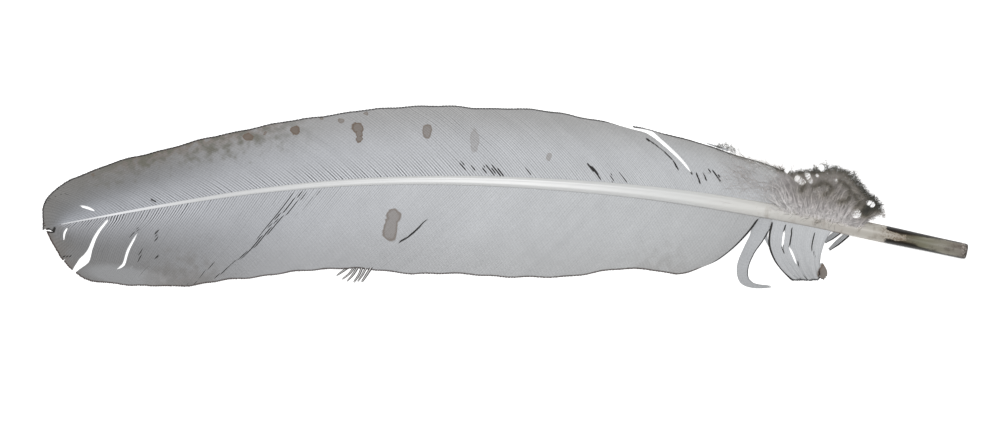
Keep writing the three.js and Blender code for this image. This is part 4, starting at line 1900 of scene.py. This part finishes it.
UPPER_PARTINGS = (
    Parting(((-142.0, -5.0), (-144.6, -3.9), (-147.6, -3.0)), (0.6, 1.0, 0.8)),
    Parting(
        (
            (65.3, 7.4),
            (63.5, 9.9),
            (61.0, 12.6),
            (57.6, 15.8),
            (54.1, 18.8),
            (52.6, 20.0),
            (49.1, 22.0),
            (46.0, 23.4),
            (43.1, 24.6),
        ),
        (0.7, 0.9, 1.05, 1.15, 1.35, 1.7, 1.5, 1.2, 1.4),
        tip_x=44.6,
    ),
    Parting(
        ((47.4, 20.1), (50.3, 18.3), (54.8, 14.6), (58.3, 10.6), (59.3, 8.8)),
        (0.2, 0.4, 0.5, 0.5, 0.3),
        Slit.CROSSING,
    ),
    Parting(((-16.1, 11.4), (-13.8, 9.7)), (0.3, 0.35), Slit.CLOSED),
    Parting(((-14.9, 11.8), (-13.5, 9.3)), (0.3, 0.3), Slit.CLOSED),
    Parting(((-11.4, 9.9), (-10.7, 9.0)), (0.35, 0.35), Slit.CLOSED),
    Parting(((-7.3, 10.0), (-6.1, 8.1)), (0.35, 0.35), Slit.CLOSED),
    Parting(((-6.1, 10.7), (-4.7, 8.0)), (0.35, 0.35), Slit.CLOSED),
    Parting(((-4.7, 10.6), (-3.5, 8.1)), (0.35, 0.35), Slit.CLOSED),
    Parting(((-3.5, 9.9), (-2.1, 7.6)), (0.4, 0.4), Slit.CLOSED),
    Parting(((-2.2, 9.3), (-0.7, 7.3)), (0.4, 0.4), Slit.CLOSED),
    Parting(((7.6, 9.2), (8.5, 8.0)), (0.3, 0.3), Slit.CLOSED),
    Parting(((28.7, 10.9), (31.1, 9.0), (32.9, 5.7)), (0.35, 0.45, 0.35), Slit.CROSSING),
    Parting(((29.4, 9.9), (31.5, 8.1)), (0.35, 0.45), Slit.CROSSING),
    Parting(((36.3, 7.6), (37.2, 5.4)), (0.25, 0.3), Slit.CLOSED),
    Parting(((39.8, 8.3), (41.5, 5.2)), (0.2, 0.35), Slit.CLOSED),
    Parting(((65.3, 7.4), (67.0, 4.2)), (0.4, 0.35), Slit.CROSSING),
    Parting(((63.2, 7.6), (63.7, 7.1)), (0.35, 0.35), Slit.CROSSING),
    Parting(((68.0, 8.0), (69.0, 5.4)), (0.3, 0.3), Slit.CROSSING),
    Parting(((69.7, 9.3), (70.9, 7.8)), (0.3, 0.35), Slit.CROSSING),
    Parting(((71.4, 8.8), (74.4, 5.0)), (0.35, 0.3), Slit.CROSSING),
    Parting(((73.2, 7.6), (74.6, 6.1)), (0.25, 0.25), Slit.CROSSING),
    Parting(
        ((-159.3, -1.9), (-155.7, 0.2), (-152.6, 0.9), (-149.8, -0.2)), (0.25, 0.2, 0.2, 0.05), Slit.CLOSED
    ),
    Parting(((-158.1, 0.9), (-154.0, 2.9), (-149.5, 3.6)), (0.2, 0.2, 0.05), Slit.CLOSED),
    Parting(((-155.4, 2.6), (-150.5, 5.7), (-145.0, 7.1)), (0.2, 0.2, 0.1), Slit.CLOSED),
    Parting(((-122.7, -0.9), (-121.2, -1.7)), (0.35, 0.35), Slit.CROSSING),
)
LOWER_PARTINGS = (
    Parting(((-151.7, -11.3), (-152.6, -13.0), (-153.2, -14.8)), (0.6, 0.9, 0.6)),
    Parting(((-156.6, -11.8), (-158.2, -11.9), (-159.9, -12.1)), (0.0, 0.7, 0.5, 0.0)),
    Parting(((-152.2, -21.8), (-153.2, -22.9), (-154.4, -24.2)), (0.2, 0.6, 1.0)),
    Parting(
        ((-137.6, -8.0), (-141.5, -13.5), (-144.0, -18.5), (-146.1, -22.1), (-149.4, -25.8)),
        (0.7, 1.1, 1.5, 3.4, 1.4),
    ),
    Parting(((-128.1, -14.0), (-130.9, -19.1), (-131.9, -22.7), (-134.7, -24.9)), (0.6, 1.0, 1.0, 0.6)),
    Parting(
        ((-27.0, -8.0), (-31.2, -12.0), (-34.0, -14.4), (-37.2, -15.9)), (0.25, 0.7, 0.6, 0.2), Slit.CROSSING
    ),
    Parting(
        ((-70.2, 1.6), (-78.5, -7.4), (-85.8, -16.1), (-91.3, -21.3)), (0.3, 0.35, 0.35, 0.25), Slit.CLOSED
    ),
    Parting(((-72.3, 1.6), (-80.3, -7.8), (-86.2, -15.1)), (0.25, 0.3, 0.2), Slit.CLOSED),
    Parting(((-68.9, 0.9), (-76.5, -7.1), (-84.1, -15.1)), (0.25, 0.3, 0.3), Slit.CLOSED),
    Parting(
        ((-84.8, -15.4), (-89.6, -19.5), (-94.5, -23.4), (-99.3, -27.2)), (0.35, 0.5, 0.2, 0.4), Slit.CLOSED
    ),
    Parting(((-63.7, 2.2), (-72.1, -6.7)), (0.2, 0.12), Slit.CLOSED),
    Parting(((-101.0, -22.7), (-105.9, -28.2)), (0.25, 0.2), Slit.CLOSED),
    Parting(((-120.2, -12.3), (-120.4, -15.1)), (0.35, 0.45), Slit.CROSSING),
    Parting(((-120.7, -20.4), (-120.7, -21.6)), (0.6, 0.6), Slit.CROSSING),
    Parting(((-126.2, -18.8), (-127.1, -21.6)), (0.3, 0.3), Slit.CLOSED),
    Parting(((-125.9, -10.9), (-128.2, -14.0)), (0.25, 0.35), Slit.CLOSED),
    Parting(((-123.7, -24.3), (-126.8, -27.4)), (0.15, 0.15), Slit.CLOSED),
    Parting(((-159.5, -11.3), (-155.7, -11.3)), (0.4, 0.3), Slit.CLOSED),
    Parting(((-152.6, -21.3), (-149.8, -20.8)), (0.4, 0.3), Slit.CLOSED),
    Parting(((-106.9, -29.9), (-113.1, -31.1)), (0.3, 0.2), Slit.CLOSED),
    Parting(((85.6, -10.7), (86.7, -9.2)), (0.45, 0.45), Slit.CROSSING),
)
FAN_PARTINGS = (
    Parting(((96.6, -11.9), (96.4, -14.5), (96.2, -17.3)), (0.7, 0.9, 0.7)),
    Parting(((98.4, -17.3), (99.4, -19.4), (100.8, -23.0)), (0.6, 0.85, 0.6)),
    Parting(((99.5, -11.1), (98.8, -14.0), (98.4, -17.1)), (0.3, 0.45, 0.35), Slit.CLOSED),
    Parting(
        ((107.3, -12.6), (106.4, -15.3), (106.2, -18.4), (107.5, -20.7)), (0.25, 0.4, 0.3, 0.2), Slit.CLOSED
    ),
    Parting(((96.9, -10.2), (96.5, -11.9)), (0.35, 0.4), Slit.CLOSED),
    Parting(((96.4, -17.5), (96.6, -19.5)), (0.35, 0.25), Slit.CLOSED),
    Parting(((100.9, -23.0), (101.6, -24.2)), (0.4, 0.3), Slit.CLOSED),
)
FOOT_BANDS = (
    Band(
        (
            (90.2, -5.2),
            (88.7, -10.0),
            (87.3, -13.9),
            (84.7, -18.4),
            (82.4, -24.4),
            (82.9, -28.7),
            (86.0, -30.8),
            (92.6, -31.3),
        ),
        (9.4, 6.6, 5.1, 4.2, 4.1, 3.6, 1.8, 0.7),
    ),
    Band(((91.3, -10.4), (90.3, -13.0), (90.8, -15.2), (92.2, -18.0)), (0.9, 1.3, 1.0, 0.5)),
)
FAN_TIP = (Band(((109.3, -23.2), (110.3, -26.2), (110.2, -29.4)), (1.8, 3.0, 2.7)),)
FOOT_STRANDS = (
    Band(((115.8, -12.0), (113.1, -14.1), (110.9, -15.9)), (2.1, 1.9, 1.0)),
    Band(((118.7, -13.0), (115.2, -16.1), (112.4, -18.5)), (2.0, 1.9, 0.9)),
)
EDGE_BANDS = (
    Band(((-53.4, -23.6), (-55.6, -25.4), (-58.7, -27.6)), (1.0, 0.9, 0.5)),
    Band(((-51.6, -23.6), (-53.9, -26.6), (-56.6, -28.8)), (0.9, 0.8, 0.5)),
    Band(((-50.6, -23.6), (-52.6, -26.9), (-54.9, -29.5)), (1.0, 0.9, 0.5)),
    Band(((-49.2, -23.6), (-50.6, -27.0), (-52.6, -29.9)), (1.0, 0.9, 0.6)),
    Band(((-47.6, -23.6), (-49.4, -27.0), (-51.2, -29.6)), (0.9, 0.8, 0.5)),
    Band(((-45.8, -23.6), (-47.8, -26.8), (-49.8, -29.8)), (1.1, 1.0, 0.7)),
    Band(((77.4, 16.1), (73.8, 17.3), (70.0, 18.5)), (0.7, 0.6, 0.4)),
)
EDGE_ROOT_HEIGHT = 1.7
UPPER_SPOTS = (
    Spot(-26.9, 22.5, 1.6, 2.5, strength=0.75),
    Spot(
        -51.0, 23.8, 2.0, 1.9, strength=0.95, lobes=(Spot(-50.6, 21.6, 1.1, 1.4), Spot(-50.4, 19.8, 1.0, 1.2))
    ),
    Spot(-72.7, 22.9, 1.6, 1.5, strength=1.1),
    Spot(-89.0, 20.5, 1.9, 1.3, strength=1.1),
    Spot(-56.8, 26.3, 1.0, 0.7, strength=0.7),
    Spot(-48.3, 28.8, 0.9, 0.6, strength=0.7),
    Spot(-63.7, 27.2, 0.8, 0.6, strength=0.7),
    Spot(-10.6, 19.3, 1.5, 4.2, strength=0.3),
    Spot(15.3, 13.6, 0.9, 1.2, strength=0.5),
    Spot(-83.3, 22.1, 0.6, 0.5, strength=0.8),
    Spot(-142.7, 7.6, 0.7, 0.6, strength=0.8),
)
LOWER_SPOTS = (
    Spot(
        -38.4,
        -7.0,
        2.5,
        2.7,
        strength=0.72,
        lobes=(Spot(-39.2, -9.6, 2.3, 2.8), Spot(-39.7, -12.0, 2.6, 3.6)),
    ),
)
LOWER_PALE = (Spot(-130.0, -28.0, 14.0, 3.0, turn=-9.0, strength=0.5),)
HAIR_FIELDS = (
    HairField(
        ((80.0, 6.0), (90.0, 3.5), (102.0, 0.0)), 3.2, 150.0, 22.0, (3.0, 9.0), 0.06, 420, 0.85, 0.35, 0.15
    ),
    HairField(
        ((74.0, 8.0), (86.0, 5.0), (100.0, 1.0)), 3.2, 155.0, 22.0, (3.0, 8.0), 0.05, 40, 0.3, 0.69, 0.2
    ),
    HairField(
        ((80.4, 14.2), (88.2, 11.6), (97.0, 8.9)), 0.5, 155.0, 20.0, (2.0, 5.0), 0.06, 150, 0.6, 0.67, 0.15
    ),
    HairField(
        ((73.6, 17.0), (77.0, 17.2), (80.6, 15.2)), 0.55, 140.0, 40.0, (0.6, 1.8), 0.06, 260, 0.45, 0.93, 0.2
    ),
    HairField(
        ((98.0, -2.0), (108.0, -5.0), (120.0, -8.5)), 1.0, 160.0, 35.0, (2.0, 6.0), 0.06, 200, 0.8, 0.5, 0.5
    ),
    HairField(((98.0, -4.4), (124.0, -10.4)), 0.8, 215.0, 50.0, (1.5, 4.5), 0.09, 46, 0.35, 0.86, 0.1),
)


def main() -> None:
    """Builds the feather and its studio."""
    logging.basicConfig(level=logging.INFO, format="%(name)s %(message)s")
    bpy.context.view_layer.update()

    shaft = Shaft()
    shaft.build(HornKeratin())

    upper = Vane(
        name="vane_upper",
        side=Side.UPPER,
        stations=UPPER_STATIONS,
        partings=UPPER_PARTINGS,
        shaft=shaft,
        seed=3,
        seams=UPPER_SEAMS,
        pitch=UPPER_PITCH,
        bulge=0.045,
        foot_bulge=0.1,
        rough_share=0.1,
        rough_sway=0.2,
    )
    upper.build(
        BarbKeratin(
            name="barbs_upper_zipped",
            growth=((-158, "9da0a6"), (-100, "b2b4b9"), (-40, "b9bbbf"), (110, "c0c2c4")),
            soil=((-107.0, 48.0, 0.75),),
            spots=UPPER_SPOTS,
        )
    )
    lower = Vane(
        name="vane_lower",
        side=Side.LOWER,
        stations=LOWER_STATIONS,
        partings=LOWER_PARTINGS,
        shaft=shaft,
        seed=5,
        seams=LOWER_SEAMS,
        pitch=LOWER_PITCH,
        bulge=0.025,
        foot_bulge=0.078,
        dark_sides=(1.0, 0.0),
        ridge=0.08,
    )
    lower.build(
        BarbKeratin(
            name="barbs_lower_zipped",
            growth=((-158, "9b9ca0"), (-105, "b2b4b9"), (-10, "c5c7ca"), (45, "c2c4c6"), (90, "b1b2b3")),
            edge_wear=0.18,
            soil=((-155.0, 9.0, 0.45), (-112.0, 18.0, 0.4), (54.0, 12.0, 0.2)),
            spots=LOWER_SPOTS,
            pale=LOWER_PALE,
            soil_colour="7a6a5c",
            soil_olive="75706a",
            tone_share=0.07,
            fringe_shadow_colour="40302b",
        )
    )
    loose = BarbKeratin(
        name="barbs_loose",
        weave=0.02,
        growth=((-60, "d2cfce"), (80, "b9bbbe"), (120, "c4c6c8")),
        edge_wear=0.1,
        spots=(Spot(110.8, -26.4, 2.3, 3.2, strength=0.95),),
    )
    fan = Vane(
        name="foot_fan",
        side=Side.LOWER,
        stations=FAN_STATIONS,
        partings=FAN_PARTINGS,
        shaft=shaft,
        seed=9,
        seams=FAN_SEAMS,
        pitch=FAN_PITCH,
        bulge=-0.2,
        foot_bulge=-0.1,
        foot_share=1.0,
        dark_sides=(0.25, 1.0),
        ridge=0.06,
        parting_spread=2.5,
    )
    fan.build(loose)
    LooseBarbs("foot_barbs", FOOT_BANDS, None, shaft, seed=11).build(loose)
    LooseBarbs("foot_strands", FOOT_STRANDS, None, shaft, seed=12, barb_width=0.45, seam=0.8).build(loose)
    LooseBarbs(
        "fan_tip",
        FAN_TIP,
        2.0,
        shaft,
        seed=15,
        barb_width=0.45,
        seam=0.5,
        raggedness=0.2,
        dark_sides=(0.15, 0.15),
    ).build(loose)
    LooseBarbs(
        "edge_barbs",
        EDGE_BANDS,
        EDGE_ROOT_HEIGHT,
        shaft,
        seed=13,
        barb_width=0.32,
        rings=10,
        dark_sides=(1.0, 0.5),
    ).build(loose)

    fluff = DownFluff()
    DownTuft(
        name="down_tuft", shaft=shaft, seed=7, shortfall=0.3, barbules_from=0.1, barbule_length=(0.6, 1.9)
    ).build(fluff)
    DownTuft(
        name="down_rim", shaft=shaft, seed=8, shortfall=0.06, barbules_from=0.55, barbule_length=(0.6, 1.7)
    ).build(fluff)
    LooseHairs(HAIR_FIELDS, upper, shaft).build(fluff)

    Studio().build(TableCard())


if __name__ == "__main__":
    main()
